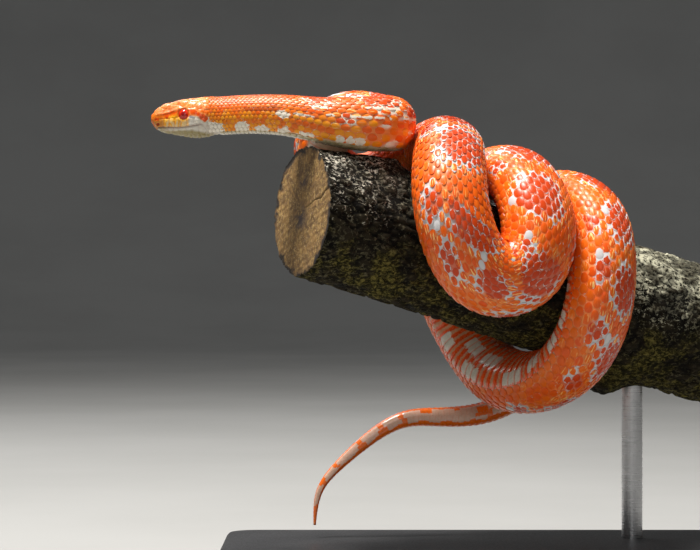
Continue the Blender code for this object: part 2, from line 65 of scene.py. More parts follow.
# Snake: (distance from the snout, width, height)
SNAKE_LENGTH, VENT = 1104.0, 898.0
GIRTH = [
    (30, 15.6, 17.2), (45, 16.3, 17.4), (60, 17.8, 18.4), (72, 19, 19.8), (84, 21.5, 22.6), (96, 24.2, 25),
    (150, 25, 25.5), (185, 26.5, 25), (215, 28.5, 27), (240, 30.5, 30), (260, 32.2, 30), (290, 33.8, 29),
    (330, 34.5, 29), (360, 35.5, 29.5), (390, 36.5, 29.5), (415, 34.5, 28.5), (440, 32.5, 28),
    (480, 32, 27.5), (520, 31, 28), (560, 29.4, 27.6), (595, 29.2, 27.2), (630, 33, 29),
    (655, 33.2, 29), (680, 31.5, 28.6), (725, 31, 25.8), (760, 29.6, 26), (800, 27, 24.5),
    (840, 23, 21.8), (870, 19.5, 18.8), (898, 16.5, 16.2), (930, 14.2, 14), (960, 12.4, 12.2),
    (1000, 10.4, 10.2), (1040, 7.6, 7.5), (1070, 5.2, 5.1), (1092, 2.8, 2.8), (1104, 1, 1),
]
BACK_ROUNDNESS, BELLY_ROUNDNESS = 2.1, 2.5
INNER_BEND_LIMIT, LONGEST_STRETCH = 0.86, 2.5
ROUTE_SAMPLES = 6001

# Route, head and neck: (x, y, z) and the way the back faces
HEAD_AND_NECK = [
    ((-68, -1, 42), (0, 0.12, 1)),
    ((-46, -1, 42.3), (0, 0.12, 1)),
    ((-24, -1, 43.6), (0, 0.1, 1)),
    ((-6, -1, 42.9), (0, 0.1, 1)),
    ((9, 0, 40.9), (0, 0.08, 1)),
    ((24, 2.5, 39.7), (0, 0.06, 1)),
    ((35, 7.5, 39.8), (0.05, 0.03, 1)),
    ((39.3, 17, 40.6), (0.1, 0.05, 1)),
    ((34.5, 27.5, 42.2), (0.05, 0.15, 1)),
    ((21.4, 33.8, 43.8), (-0.05, 0.45, 0.9)),
    ((12, 36.5, 39.8), (-0.35, 0.7, 0.65)),
    ((7.8, 41.5, 31), (-0.5, 0.85, 0.1)),
    ((11.5, 48, 21.5), (-0.35, 0.95, -0.1)),
    ((21, 52, 15.5), (-0.2, 1, 0.1)),
]
# Route, coils: along the branch, round it, out from its axis, and the roll of the back
COILS = [
    (45, 149, 46.2, 0), (54.5, 131, 46.0, 0), (59.8, 110, 46.4, 0), (58.8, 88, 46.9, 0),
    (54, 70, 47.1, 5), (49.4, 48, 47.1, 12), (50.3, 26, 46.9, 15), (57.8, 8, 46.9, 15),
    (70, -3.5, 47.1, 15), (83, -4, 47.5, 15), (92.3, 5, 47.8, 15), (95.6, 22, 47.7, 15),
    (94.8, 42, 47.0, 10), (93.9, 62, 45.6, 3), (94.2, 82, 44.5, -8), (94.4, 104, 44.2, -8),
    (93.6, 134, 45.2, -2), (93.8, 163, 46.3, 4), (100, 190, 47.0, 18), (110.5, 213, 47.5, 34),
    (119.5, 236, 47.7, 48), (124.5, 260, 47.5, 52), (128.8, 285, 47.4, 50), (132.8, 311, 48.3, 42),
    (134, 336, 48.6, 34), (132.6, 360, 48.1, 28), (130.6, 382, 47.2, 22), (129.8, 402, 46.1, 16),
    (128.8, 424, 44.3, 8), (127.8, 448, 42.8, 0), (128.2, 475, 43.4, 0), (131, 500, 45.2, 0),
    (138, 524, 46.2, 0),
]
# Route, hind loop: as for the head and neck
HIND_LOOP = [
    ((119, 105, -38), (-0.3, 0.9, -0.2)),
    ((134, 113, -46.5), (0.1, 0.9, 0.3)),
    ((148, 119.5, -49), (0.2, 0.9, 0.3)),
    ((160, 125, -50.2), (0.3, 0.9, 0.2)),
    ((170, 129.5, -54.8), (0.4, 0.9, 0.1)),
    ((174, 131, -63.5), (0.4, 0.9, 0)),
    ((169.7, 127.7, -72.3), (0.3, 0.9, -0.1)),
    ((159, 121.5, -76.8), (0.2, 0.9, -0.3)),
    ((145, 113.5, -77.2), (0.1, 0.9, -0.4)),
    ((131, 107, -77), (0, 0.95, -0.3)),
    ((112, 99, -82.5), (0, 1, -0.1)),
]
# Route, tail: (x, y, z), with its back to the rear
TAIL = [
    (97, 94, -91.5), (85.3, 91.5, -95.8), (64.3, 87, -97.4), (47.2, 84, -98.5), (30.8, 81, -107.3),
    (16.6, 79, -119.5), (7, 77, -131.5), (4.2, 76, -148.9),
]
TAIL_BACK = (0, 1, 0)

# Head: (distance behind the snout, half width, top, bottom), heights from the route's line
HEAD = [
    (0.0, 1.5, 0.8, -1.7), (0.6, 2.9, 2.0, -3.1), (1.5, 3.8, 3.0, -4.3), (3.0, 4.7, 4.3, -5.5),
    (5.0, 5.4, 5.7, -6.5), (7.2, 5.9, 6.5, -7.0), (9.5, 6.4, 6.8, -7.4), (12.2, 7.0, 7.7, -7.9),
    (15.2, 7.7, 8.2, -8.6), (18.2, 8.2, 8.4, -9.1), (21.2, 8.5, 8.5, -9.3), (24.2, 8.4, 8.8, -9.0),
    (27.0, 8.1, 9.1, -8.7), (30.0, 7.8, 8.7, -8.5),
]
HEAD_ROUNDNESS, HEAD_EASE = 2.3, 0.6
NECK_BLEND = (26.0, 34.0)
# Mouth: (distance behind the snout, height of its line, depth of its groove)
MOUTH = [
    (0.0, -4.4, 0.25), (2.5, -5.0, 0.5), (5.0, -5.0, 0.5), (7.7, -5.2, 0.5), (12.2, -5.5, 0.5),
    (15.8, -5.4, 0.5), (18.2, -5.2, 0.5), (20.8, -4.9, 0.4), (22.6, -4.7, 0.25), (24.5, -4.5, 0),
    (30.0, -4.3, 0),
]
# Swellings and hollows: (behind the snout, angle up from the side, reach along, around, height)
HEAD_FORMS = [
    (14.0, 50, 5.5, 13, 0.45), (6.0, 48, 4.5, 14, 0.3), (8.6, 12, 3.4, 22, -0.5),
    (21.5, -8, 4.5, 28, 0.35), (28.0, -20, 2.5, 30, -0.3), (7.0, -90, 4.5, 7, -0.5),
]
EYE_BEHIND_SNOUT, EYE_HEIGHT, EYE_OUT, EYE_RADIUS = 15.2, 0.2, 5.25, 3.0
EYE_OPENING, EYE_RIM, EYE_RIM_DEPTH = 2.05, 3.0, 0.4
EYE_OPENING_BEHIND, EYE_SOCKET_DEPTH = 14.8, 2.2
NOSTRIL_BEHIND_SNOUT, NOSTRIL_HEIGHT = 3.1, -3.7
NOSTRIL_RADII, NOSTRIL_DEPTH = (0.85, 0.5), 0.55

# Head shields of one side: name, kind, and places (behind the snout, angle up from the side)
HEAD_SHIELDS = {
    "rostral": [(0.0, -20)],
    "internasal": [(2.6, 66)],
    "prefrontal": [(5.9, 70), (6.3, 54)],
    "frontal": [(9.6, 90), (11.6, 90), (14.2, 90)],
    "supraocular": [(11.2, 57), (13.4, 58), (15.6, 58)],
    "parietal": [(18.6, 75), (20.6, 72), (23.4, 72), (19.0, 60)],
    "nasal_front": [(1.7, 2)],
    "nasal_rear": [(4.2, 8), (4.0, 24)],
    "loreal": [(7.2, 8)],
    "preocular": [(10.3, 12), (10.2, 30)],
    "postocular_high": [(19.3, 34)],
    "postocular_low": [(19.4, 12)],
    "temporal_1": [(22.2, 26)],
    "temporal_2": [(22.6, 6)],
    "temporal_3": [(25.2, 40)],
    "temporal_4": [(25.4, 20)],
    "temporal_5": [(25.6, 0)],
    "nape": [(26.6, 62)],
    "nape_middle": [(27.4, 84)],
}
UPPER_LIP_PLACES = [2.3, 4.6, 7.0, 9.4, 11.9, 14.6, 17.6, 20.8, 24.0]
UPPER_LIP_ANGLE, LOWER_LIP_ANGLE = -31, -58
LOWER_LIP_PLACES = [2.4, 4.4, 6.5, 8.8, 11.3, 14.0, 17.0, 20.0, 23.0]
CHIN_SHIELDS = {
    "mental": [(0.6, -90)],
    "chin_front": [(4.4, -76), (6.8, -77)],
    "chin_rear": [(10.4, -80), (12.6, -80)],
}
SEAM_WIDTH, SEAM_DEPTH = 0.22, 0.12
LONE_SHIELDS = ("frontal", "rostral", "mental")
LOWER_SHIELDS = ("lower_lip", "throat", "mental", "chin_front", "chin_rear")
THROAT_START = 25
ROSTRAL_REACH, OTHER_JAW_AWAY = 0.9, 50
THROAT_ROWS, NAPE_ROWS = np.arange(15.5, 34, 1.9), np.arange(28.0, 38, 2.1)
# Red marks of the head: start, end (behind the snout, to the side, up) and half width
HEAD_MARKS = [
    ((19.5, 7.8, 0.6), (24.4, 8.3, -2.2), 1.3),
    ((17.6, 7.2, 2.0), (20.5, 8.0, 0.2), 1.1),
    ((12.8, 5.6, 5.6), (9.4, 2.0, 6.8), 0.5),
    ((9.4, 2.0, 6.8), (9.2, 0.0, 7.0), 0.6),
    ((19.0, 1.4, 8.3), (27.0, 3.2, 8.6), 0.8),
    ((27.0, 3.2, 8.6), (36.0, 4.6, 8.0), 1.2),
    ((18.5, 5.0, 7.0), (25.0, 6.6, 5.4), 0.6),
    ((2.2, 4.2, -1.3), (3.2, 4.5, -1.5), 0.7),
    ((7.0, 5.6, -0.1), (7.4, 5.7, -1.0), 0.75),
    ((6.2, 5.5, 0.6), (12.6, 6.5, 1.4), 0.5),
    ((13.2, 6.2, 3.5), (16.2, 6.6, 3.2), 0.75),
]
CORNER_SPOT = ((28.2, 8.0, -2.4), (28.6, 7.6, -5.0), 0.9)
# Edge of the snout, from its tip to the brow: (behind the snout, up)
SNOUT_EDGE = [(1.5, 0.6), (5.6, 0.9), (9.3, 1.7), (13.2, 3.1)]
# Net, broad patches and flecks on the head: size in millimetres, and seed
HEAD_GRAINS = [(1.15, 11), (3.2, 12), (0.6, 13)]
# Skin: rings and columns, and the cap on the snout as (share of the first ring, bulge)
HEAD_RINGS, HEAD_COLUMNS, SNOUT_CROWDING, HEAD_SKIN_END = 190, 200, 1.35, 34.0
BODY_RING_STEP, BODY_COLUMNS = 1.6, 50
SNOUT_CAP, SNOUT_BULGE = [(0.35, 0.28), (0.7, 0.16)], 0.32
EYE_SEGMENTS, EYE_RINGS = 64, 40

# Markings: (distance from the snout, angle round the body, half length, half spread, slant)
SEEN_SADDLES = [
    (50, 90, 8, 34, 0), (74, 90, 8, 58, 0), (100, 90, 9, 62, 0), (282, 97, 11, 44, 0),
    (318, 107, 7.5, 42, 0.2), (340, 91, 7.5, 20, 0), (360, 100, 8, 42, 0), (391, 125, 9.5, 42, 0),
    (639, 92, 8, 32, 0), (665, 94, 8.5, 32, 0), (691, 96, 9, 32, 0), (898, 90, 8, 40, 0),
]
SADDLE_PITCH, SADDLE_HALF_LENGTH, SADDLE_HALF_SPREAD = 27.0, 9.5, 42
SEEN_SIDE_BLOTCHES = [
    (47.5, 9, 5.5, 6, 0), (55, 8, 3.2, 11, 0), (86, 3, 2.6, 13, 0), (306, 38, 5.5, 17, 0),
    (324, 50, 7, 13, 0), (367, 148, 4.5, 10, 0), (414, 168, 4, 11, 0), (628, 139, 4.5, 16, 0),
    (650, 140, 4.5, 15, 0), (672, 143, 4.5, 14, 0), (690, 160, 4, 12, 0),
]
SIDE_BLOTCH_FROM_BACK, SIDE_BLOTCH_SIZE, SIDE_BLOTCHES_REACH = 66, (4.5, 14), (70, 1000)
TAIL_SADDLE_PITCH, TAIL_SADDLE_SHRINK = 19.0, 0.92
BLOTCH_SQUARENESS = 2.6
# White places on the sides of the neck, given as the markings are
WHITE_PLACES = [
    (27, -52, 5.0, 24), (40.5, -52, 3.6, 22), (50, -58, 2.8, 16), (60, -58, 3.0, 15), (59, -6, 2.8, 11),
    (70, -54, 3.4, 8), (68, -2, 4, 3.0), (74.7, 27, 5, 3.0), (79, 7, 2, 3.2), (100, 30, 6.5, 2.8),
    (84.4, -50, 1.9, 12), (88.4, -50, 1.9, 12), (92.5, -50, 1.9, 12), (95.5, 7.5, 8.0, 2.8),
    (104, -50, 3.0, 11),
    (109, 11, 4, 3.2), (100.5, -9, 2, 2.2), (110, -18, 1.6, 2.6), (118, -48, 2.6, 9), (131, -46, 3.0, 9),
]
# Roll of the belly, and half its spread: (distance from the snout, degrees)
BODY_ROLL = [
    (60, -14), (110, -12), (240, -9), (480, -10), (545, -21), (575, -14), (600, -13), (635, -20), (690, -20),
    (760, -10),
]
SCUTE_HALF_SPREAD = [(60, 40), (110, 45), (240, 51.5), (898, 51.5), (912, 62)]
EDGE_OVERLAP = 1.5

# Coat: rows of scales on each side of the row along the back, and the pitch of scales in a row
ROWS_EACH_SIDE = [
    (24, 12), (56, 12), (78, 10.5), (90, 10), (150, 10), (180, 11), (700, 11), (735, 10), (800, 10), (820, 9),
    (850, 8.5), (880, 8), (900, 7), (925, 6), (960, 5), (1010, 4), (1055, 3), (1104, 2),
]
MOST_ROWS = 14
SCALE_PITCH = [
    (20, 1.5), (26, 1.6), (34, 1.8), (46, 2.0), (58, 2.4), (70, 3.2), (84, 4.1), (100, 4.45), (800, 4.45),
    (860, 4.0), (898, 3.4), (960, 3.2), (1040, 2.6), (1104, 1.8),
]
BACK_ROW_SHARE = 0.82
SCALE_LENGTH_SHARE, SCALE_WIDTH_SHARE = 0.97, 1.06
SCALE_SQUARENESS, SCALE_TAPER = 2.25, 0.1
SCALE_RINGS, SCALE_SIDES = (0.42, 0.78, 1.0), 16
SKIN_DEPTH = 0.45
SCALE_FRONT, SCALE_REAR, SCALE_DOME = -0.4, -0.06, 0.2
FULL_SCALE_WIDTH, FULL_BODY_WIDTH = 3.2, 26
SCALE_PULL, PLATE_PULL, PLATE_HALF_LENGTH_SHARE = (0.62, 1.12), (0.5, 1.15), 0.53
UNDERSIDE_HEIGHT = -0.62
COAT_START, COAT_PIECES = 25.6, 5
BELLY_START = 30.0
SCUTE_COLUMNS = 28
SCUTE_PROFILE = [(-1.0, -0.4), (-0.6, -0.2), (0.3, -0.06), (0.8, 0.02), (1.0, -0.04)]
BAKE_PATCH = 0.003

# Belly: cream blocks in two columns, and orange bars under the tail
BLOCK_START, BLOCK_PITCH, BLOCK_HALF_LENGTH = 571.0, 30.5, 6.0
BLOCK_INNER, BLOCK_OUTER, BELLY_EDGE = 10, 42, 45
# Blocks that are seen: (distance from the snout, half length, angle round the body, half spread)
SEEN_BLOCKS = [
    (546, 6.5, 224, 13), (569, 6.5, 224, 12), (601, 6.5, 220, 14), (618, 5.5, 226, 13), (635, 3, 212, 12),
    (649, 4, 208, 11), (560, 6, 265, 14), (578.5, 6, 262, 14),
]
SEEN_BELLY = (534, 662)
TAIL_EDGE, TAIL_LOWER_EDGE, TAIL_ALL_ORANGE = 42, 36, 1094
# Bars: (distance from the snout, half length, turn from the middle, half spread)
TAIL_BARS = [
    (911, 5, 12, 16), (929, 2.4, 30, 14), (951, 2.4, 30, 16), (994, 4.0, -5, 24), (990, 1.5, 25, 30),
    (1006.5, 1.4, -48, 20), (1022.5, 1.8, -40, 24), (1034, 1.6, 0, 70), (1044.5, 2.0, 0, 70),
    (1057, 1.6, 0, 70), (1073, 1.3, -10, 30), (1082.5, 1.6, 0, 70),
]

# Colours, linear
RED, DEEP_RED = (0.58, 0.052, 0.006), (0.44, 0.030, 0.004)
ORANGE, YELLOW = (0.76, 0.088, 0.005), (0.86, 0.25, 0.008)
GOLD, PALE_YELLOW, GOLD_ORANGE = (0.92, 0.46, 0.02), (0.92, 0.62, 0.22), (0.90, 0.36, 0.010)
WHITE, CREAM = (0.62, 0.60, 0.60), (0.52, 0.45, 0.33)
LIP_WHITE, SEAM_PINK, NECK_WHITE = (0.68, 0.63, 0.54), (0.42, 0.20, 0.16), (0.84, 0.77, 0.64)
PALE_ORANGE, PINK = (0.80, 0.26, 0.08), (0.66, 0.20, 0.12)
TAIL_PINK, TAIL_CREAM, SCUTE_PINK = (0.68, 0.42, 0.31), (0.60, 0.38, 0.27), (0.56, 0.27, 0.14)
TAIL_ORANGE, STRIPE = (0.80, 0.14, 0.006), (0.52, 0.085, 0.007)
# The khaki is painted shade: on the throat, at the front of the head and on the belly under the neck.
# The peach is a painted sheen on top of the head and a painted highlight along the snout's edge.
KHAKI_SHADE, BELLY_CREAM, PEACH_SHEEN = (0.27, 0.215, 0.065), (0.55, 0.47, 0.29), (0.80, 0.36, 0.17)
LIP_GOLD, MOUTH_RED = (0.95, 0.55, 0.06), (0.30, 0.13, 0.10)
NOSTRIL_RED, EYE_RIM_RED = (0.34, 0.035, 0.012), (0.62, 0.05, 0.010)
IRIS, IRIS_LIGHT = (0.50, 0.010, 0.003), (0.70, 0.040, 0.008)
EYE_RED, PUPIL = (0.58, 0.014, 0.005), (0.30, 0.010, 0.010)
BARK_BLACK, BARK_BROWN, BARK_WORN = (0.0035, 0.003, 0.0022), (0.026, 0.020, 0.011), (0.13, 0.115, 0.065)
FLECK, LICHEN = (0.72, 0.68, 0.56), (0.62, 0.60, 0.44)
MOSS_DARK, MOSS = (0.012, 0.011, 0.003), (0.20, 0.165, 0.04)
OCHRE, RING_BROWN, RAY_BROWN = (0.27, 0.15, 0.045), (0.15, 0.075, 0.022), (0.12, 0.06, 0.02)
PATCH_BROWN, PALE_WOOD, SPECK = (0.11, 0.058, 0.02), (0.44, 0.29, 0.10), (0.60, 0.46, 0.26)
RIM_BROWN, RIM_BLACK = (0.10, 0.055, 0.025), (0.02, 0.014, 0.01)
STAIN, CRACK_BLACK = (0.055, 0.04, 0.04), (0.012, 0.008, 0.005)
ENAMEL = (0.018, 0.018, 0.02), (0.03, 0.03, 0.032)
STEEL = (0.42, 0.42, 0.43), (0.62, 0.62, 0.63)
STAGE = (0.33, 0.33, 0.32), (0.36, 0.36, 0.35)
MIDDLE_TINT = 0.5

# Where looks change: most noise, degrees from the eye's gaze, and millimetres along the branch
NOISE_RANGE = (0.3, 0.7)
PUPIL_EDGE, IRIS_EDGE = (17.0, 23.0), (38.0, 46.0)
FAR_BARK, LICHEN_BARK = (110.0, 150.0), (90.0, 140.0)

# Studio, the lights as (name, place in metres, size, power, colour)
CAMERA_PLACE = (21.15, -1137.5, -28.67)
LENS, SENSOR, CLIP = 130.0, 36.0, (0.05, 50)
BOWL_FLOOR, BOWL_WALL, BOWL_HEIGHT, BOWL_SIDES = 3.6, 6.0, 5.0, 96
SKY, SKY_STRENGTH = (0.95, 0.97, 1.0, 1), 0.24
LIT_PLACE = (0.0, 0.0, 0.16)
LIGHTS = [
    ("key", (-0.36, -0.2, 1.62), 0.4, 52, (1.0, 0.97, 0.93)),
    ("front", (0.15, -1.9, 0.75), 0.6, 4, (1, 1, 1)),
    ("rear", (-0.6, 0.95, 1.15), 0.8, 6, (1, 1, 1)),
]

CUT_FACE_CENTRE = np.array([-86.0, -46.0, -TAIL[-1][2] + TAIL_CLEARANCE + BASE_THICKNESS])
ALONG = np.array([
    math.cos(BRANCH_RECEDES) * math.cos(BRANCH_DROPS),
    math.sin(BRANCH_RECEDES),
    -math.cos(BRANCH_RECEDES) * math.sin(BRANCH_DROPS),
])
FRONT = np.array([0.0, -1.0, 0.0]) + ALONG[1] * ALONG
FRONT /= np.linalg.norm(FRONT)
TOP = np.cross(FRONT, ALONG)

FLESH = [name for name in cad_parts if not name.startswith(("stand", "perch", "left", "right"))]
random = np.random.default_rng(7)


def unit(vectors):
    return vectors / np.linalg.norm(vectors, axis=-1, keepdims=True)


def smooth(share):
    """Eased step from 0 to 1."""
    share = np.clip(share, 0, 1)
    return share * share * (3 - 2 * share)


def ramp(value, start, end):
    """Eased step from 0 to 1 as a value goes from start to end."""
    return smooth((value - start) / (end - start))


def bell(value, width):
    """1 where the value is 0, and falling away over the width on both sides."""
    return np.exp(-(value / width) ** 2)


def table(stations, at):
    rows = np.array(stations, float)
    return [np.interp(at, rows[:, 0], rows[:, column]) for column in range(1, rows.shape[1])]


def eased_table(stations, at, ease=6.0, samples=7):
    """Values of a table with the corners of its lines rounded."""
    return np.mean([table(stations, at + shift) for shift in np.linspace(-ease, ease, samples)], axis=0)


def mixed(share, first, second):
    """Colours between two others."""
    share = np.asarray(share)[..., None]
    return np.asarray(first) * (1 - share) + np.asarray(second) * share


def painted(colour, *layers):
    """A colour with others laid over it in turn, each by its share."""
    for share, tone in layers:
        colour = mixed(share, colour, tone)
    return colour


def every_pair(first, second):
    """All pairs of two rows of values, the second running faster."""
    return [grid.ravel() for grid in np.meshgrid(first, second, indexing="ij")]


def value_noise(points, seed=0):
    """Smooth noise between 0 and 1, one cell to each unit of space."""
    cell = np.floor(points).astype(np.int64)
    part = smooth(points - cell)
    total = np.zeros(points.shape[:-1])
    for corner in np.ndindex(2, 2, 2):
        key = cell + np.array(corner)
        code = (key[..., 0] * 73856093) ^ (key[..., 1] * 19349663) ^ (key[..., 2] * 83492791)
        code = (code ^ (seed * 374761393)) & 0xFFFFFFF
        code = ((code ^ (code >> 13)) * 1274126177) & 0xFFFFFFF
        value = ((code ^ (code >> 11)) & 0xFFFF) / 0xFFFF
        total += value * np.prod(np.where(np.array(corner) == 1, part, 1 - part), axis=-1)
    return total


def layered_noise(points, octaves=3, seed=0):
    total = sum(value_noise(points * 2 ** level, seed + level) / 2 ** level for level in range(octaves))
    return total / sum(1 / 2 ** level for level in range(octaves))


def skin_noise(at, degrees, length, spread, seed, layer=0.0):
    """Noise over the skin, its cells so many millimetres long and degrees wide."""
    return layered_noise(np.stack([at / length, degrees / spread, np.full(at.shape, layer)], -1), 2, seed)


def outward(around):
    angle = np.radians(np.asarray(around, float))[..., None]
    return np.cos(angle) * FRONT + np.sin(angle) * TOP


def on_branch(along, around, out):
    return np.asarray(along, float)[..., None] * ALONG + np.asarray(out, float)[..., None] * outward(around)


def turn_between(around, centre):
    return (around - centre + 180) % 360 - 180


def branch_radius(along, around):
    """Surface of the branch, as in the part's source."""
    side, = table(BRANCH_SIDE_RADIUS, along)
    crest, = table(BRANCH_CREST_RADIUS, along)
    upward = np.maximum(np.sin(np.radians(around)), 0) ** 2
    swelling = bell(turn_between(around, CREST_SWELLING_AROUND), CREST_SWELLING_SPREAD)
    stub = bell(turn_between(around, STUB_AROUND), STUB_SPREAD) * bell(along - STUB_ALONG, STUB_REACH)
    furrow = 0.5
    for count, twist, strength, phase in BARK_FURROWS:
        furrow = furrow + strength * np.sin(count * np.radians(around) + twist * along + phase)
    return (crest * upward + side * (1 - upward) + table(CREST_SWELLING, along)[0] * swelling
            + STUB_HEIGHT * stub - BARK_DEPTH * furrow)


def spline(points, at):
    """Natural cubic spline through rows of points, read at shares of its chord length."""
    points = np.asarray(points, float)
    count = len(points)
    chords = np.linalg.norm(np.diff(points[:, :3], axis=0), axis=1)
    knots = np.concatenate([[0], np.cumsum(chords)])
    matrix = np.eye(count)
    right = np.zeros_like(points)
    for i in range(1, count - 1):
        matrix[i, i - 1:i + 2] = chords[i - 1], 2 * (chords[i - 1] + chords[i]), chords[i]
        ahead = (points[i + 1] - points[i]) / chords[i]
        behind = (points[i] - points[i - 1]) / chords[i - 1]
        right[i] = 6 * (ahead - behind)
    bend = np.linalg.solve(matrix, right)
    at = np.asarray(at) * knots[-1]
    low = np.clip(np.searchsorted(knots, at, side="right") - 1, 0, count - 2)
    before = (knots[low + 1] - at)[:, None]
    after = (at - knots[low])[:, None]
    chord = chords[low][:, None]
    cubic = (bend[low] * before ** 3 + bend[low + 1] * after ** 3) / (6 * chord)
    return (cubic + (points[low] / chord - bend[low] * chord / 6) * before
            + (points[low + 1] / chord - bend[low + 1] * chord / 6) * after)


class Route:
    """The line through the middle of the snake, read by distance from the snout."""

    def __init__(self):
        free = HIND_LOOP + [(place, TAIL_BACK) for place in TAIL]
        front, rear = [[(*place, *unit(np.array(back, float)), 0) for place, back in part]
                       for part in (HEAD_AND_NECK, free)]
        coils = [(*on_branch(along, around, out), *outward(around), roll)
                 for along, around, out, roll in COILS]
        fine = spline(front + coils + rear, np.linspace(0, 1, ROUTE_SAMPLES))
        self.place = fine[:, :3]
        steps = np.linalg.norm(np.diff(self.place, axis=0), axis=1)
        self.distance = np.concatenate([[0], np.cumsum(steps)])
        self.distance *= SNAKE_LENGTH / self.distance[-1]
        self.ahead = unit(np.gradient(self.place, self.distance, axis=0))
        self.bend = np.gradient(self.ahead, self.distance, axis=0)
        level = unit(self.level(fine[:, 3:6], self.ahead))
        roll = np.radians(fine[:, 6:7])
        self.back = level * np.cos(roll) + np.cross(self.ahead, level) * np.sin(roll)
        self.girth = np.stack(eased_table(GIRTH, self.distance), -1)

    def level(self, hint, ahead):
        """What is left of a direction once its share along the route is taken out."""
        return hint - (hint * ahead).sum(-1, keepdims=True) * ahead

    def read(self, values, at):
        return np.stack([np.interp(at, self.distance, column) for column in values.T], -1)

    def frames(self, at):
        """Places, directions, sides, backs and bends at distances from the snout."""
        ahead = unit(self.read(self.ahead, at))
        back = unit(self.level(self.read(self.back, at), ahead))
        return self.read(self.place, at), ahead, np.cross(ahead, back), back, self.read(self.bend, at)


def superellipse(angle, half_width, half_height, roundness):
    across = np.abs(np.cos(angle)) / half_width
    up = np.abs(np.sin(angle)) / half_height
    return (across ** roundness + up ** roundness) ** (-1 / roundness)


def folded(angle):
    """Angle up from the nearer side, in degrees, of an angle in radians."""
    return np.degrees(np.arcsin(np.clip(np.sin(angle), -1, 1)))


def head_section(at, angle):
    """Reach of the head's skin, and the height of its section's middle."""
    half_width, top, bottom = eased_table(HEAD, at, HEAD_EASE)
    reach = superellipse(angle, half_width, (top - bottom) / 2, HEAD_ROUNDNESS)
    for behind, up, along, around, height in HEAD_FORMS:
        reach = reach + height * bell(at - behind, along) * bell(folded(angle) - up, around)
    return reach, (top + bottom) / 2


def section(at, angle, lift=0.0):
    """Offsets to the side and to the back, of the skin or of a place lifted off it."""
    width, height = np.moveaxis(route.read(route.girth, at), -1, 0)
    roundness = np.where(np.sin(angle) >= 0, BACK_ROUNDNESS, BELLY_ROUNDNESS)
    reach = superellipse(angle, width / 2, height / 2, roundness)
    middle = np.zeros_like(reach)
    front = at < NECK_BLEND[1]
    if front.any():
        head_reach, head_middle = head_section(np.where(front, at, NECK_BLEND[1]), angle)
        share = ramp(at, *NECK_BLEND)
        reach = reach * share + head_reach * (1 - share)
        middle = head_middle * (1 - share)
    reach = reach + lift
    return reach * np.cos(angle), middle + reach * np.sin(angle)


def bent_offset(at, sideways, upward):
    """Places on the route, offsets from them, and how far these reach to the bend's middle."""
    place, _, side, back, bend = route.frames(at)
    offset = sideways[..., None] * side + upward[..., None] * back
    return place, offset, (bend * offset).sum(-1)


def surface(at, angle, lift=0.0):
    """Points of the snake's surface, drawn in on the inside of a bend."""
    place, offset, crowding = bent_offset(at, *section(at, angle, lift))
    crowding = crowding[..., None]
    return place + offset * np.where(
        crowding > INNER_BEND_LIMIT, INNER_BEND_LIMIT / np.maximum(crowding, 0.1), 1)


def stretch(at, angle):
    """How much longer the skin is here than the route's line, along the body."""
    crowding = bent_offset(at, *section(at, angle))[2]
    return np.clip(1 - crowding, 1 - INNER_BEND_LIMIT, LONGEST_STRETCH)


# Meshes

def tube(rings, count, closed=True):
    """Faces between rings or rows of vertices, each given by the number of its first."""
    faces = []
    for low, high in zip(rings[:-1], rings[1:]):
        for j in range(count if closed else count - 1):
            k = (j + 1) % count
            faces.append((low + j, high + j, high + k, low + k))
    return faces


def fan(centre, ring, count):
    """Faces from one vertex to a ring that starts at a number."""
    return [(ring + j, centre, ring + (j + 1) % count) for j in range(count)]


def flipped(faces):
    return [face[::-1] for face in faces]


def copies(faces, count, size):
    """Faces of many copies of a template with so many vertices."""
    offsets = np.arange(count)[:, None] * size
    return [tuple(corners) for face in faces for corners in (offsets + np.array(face)).tolist()]


def each(values, count):
    """Every value so many times, for the vertices of its copy."""
    return np.repeat(values, count, axis=0)


def link(name, data):
    holder = bpy.data.objects.new(name, data)
    bpy.context.scene.collection.objects.link(holder)
    return holder


def new_mesh(name, points, faces, materials):
    mesh = bpy.data.meshes.new(name)
    mesh.from_pydata(points.tolist(), [], faces)
    mesh.update()
    for material in materials:
        mesh.materials.append(material)
    mesh.shade_smooth()
    return link(name, mesh)


def new_piece(name, points, faces, materials, sharp=None, second_from=None):
    """Mesh piece from points in millimetres, its second material starting at a face's number."""
    piece = new_mesh(name, (points + CUT_FACE_CENTRE) * MM, faces, materials)
    if sharp:
        piece.data.set_sharp_from_angle(angle=math.radians(sharp))
    if second_from:
        slots = (np.arange(len(faces)) >= second_from).astype(np.int32)
        piece.data.polygons.foreach_set("material_index", slots)
    return piece


def store(piece, **attributes):
    """Point attributes: a number or a colour for each vertex."""
    for name, values in attributes.items():
        values = np.asarray(values, float)
        kind, key = ("FLOAT", "value") if values.ndim == 1 else ("FLOAT_COLOR", "color")
        if values.ndim == 2:
            values = np.concatenate([values, np.ones((len(values), 1))], 1)
        attribute = piece.data.attributes.new(name, kind, "POINT")
        attribute.data.foreach_set(key, np.ascontiguousarray(values, dtype=np.float32).ravel())


def bake_map(piece, places):
    """UV map of the snake's own unwrap, from a pair of numbers for each vertex."""
    corners = np.empty(len(piece.data.loops), dtype=np.int64)
    piece.data.loops.foreach_get("vertex_index", corners)
    layer = piece.data.uv_layers.new(name="OFBake")
    layer.uv.foreach_set("vector", np.asarray(places, dtype=np.float32)[corners].ravel())


# Materials

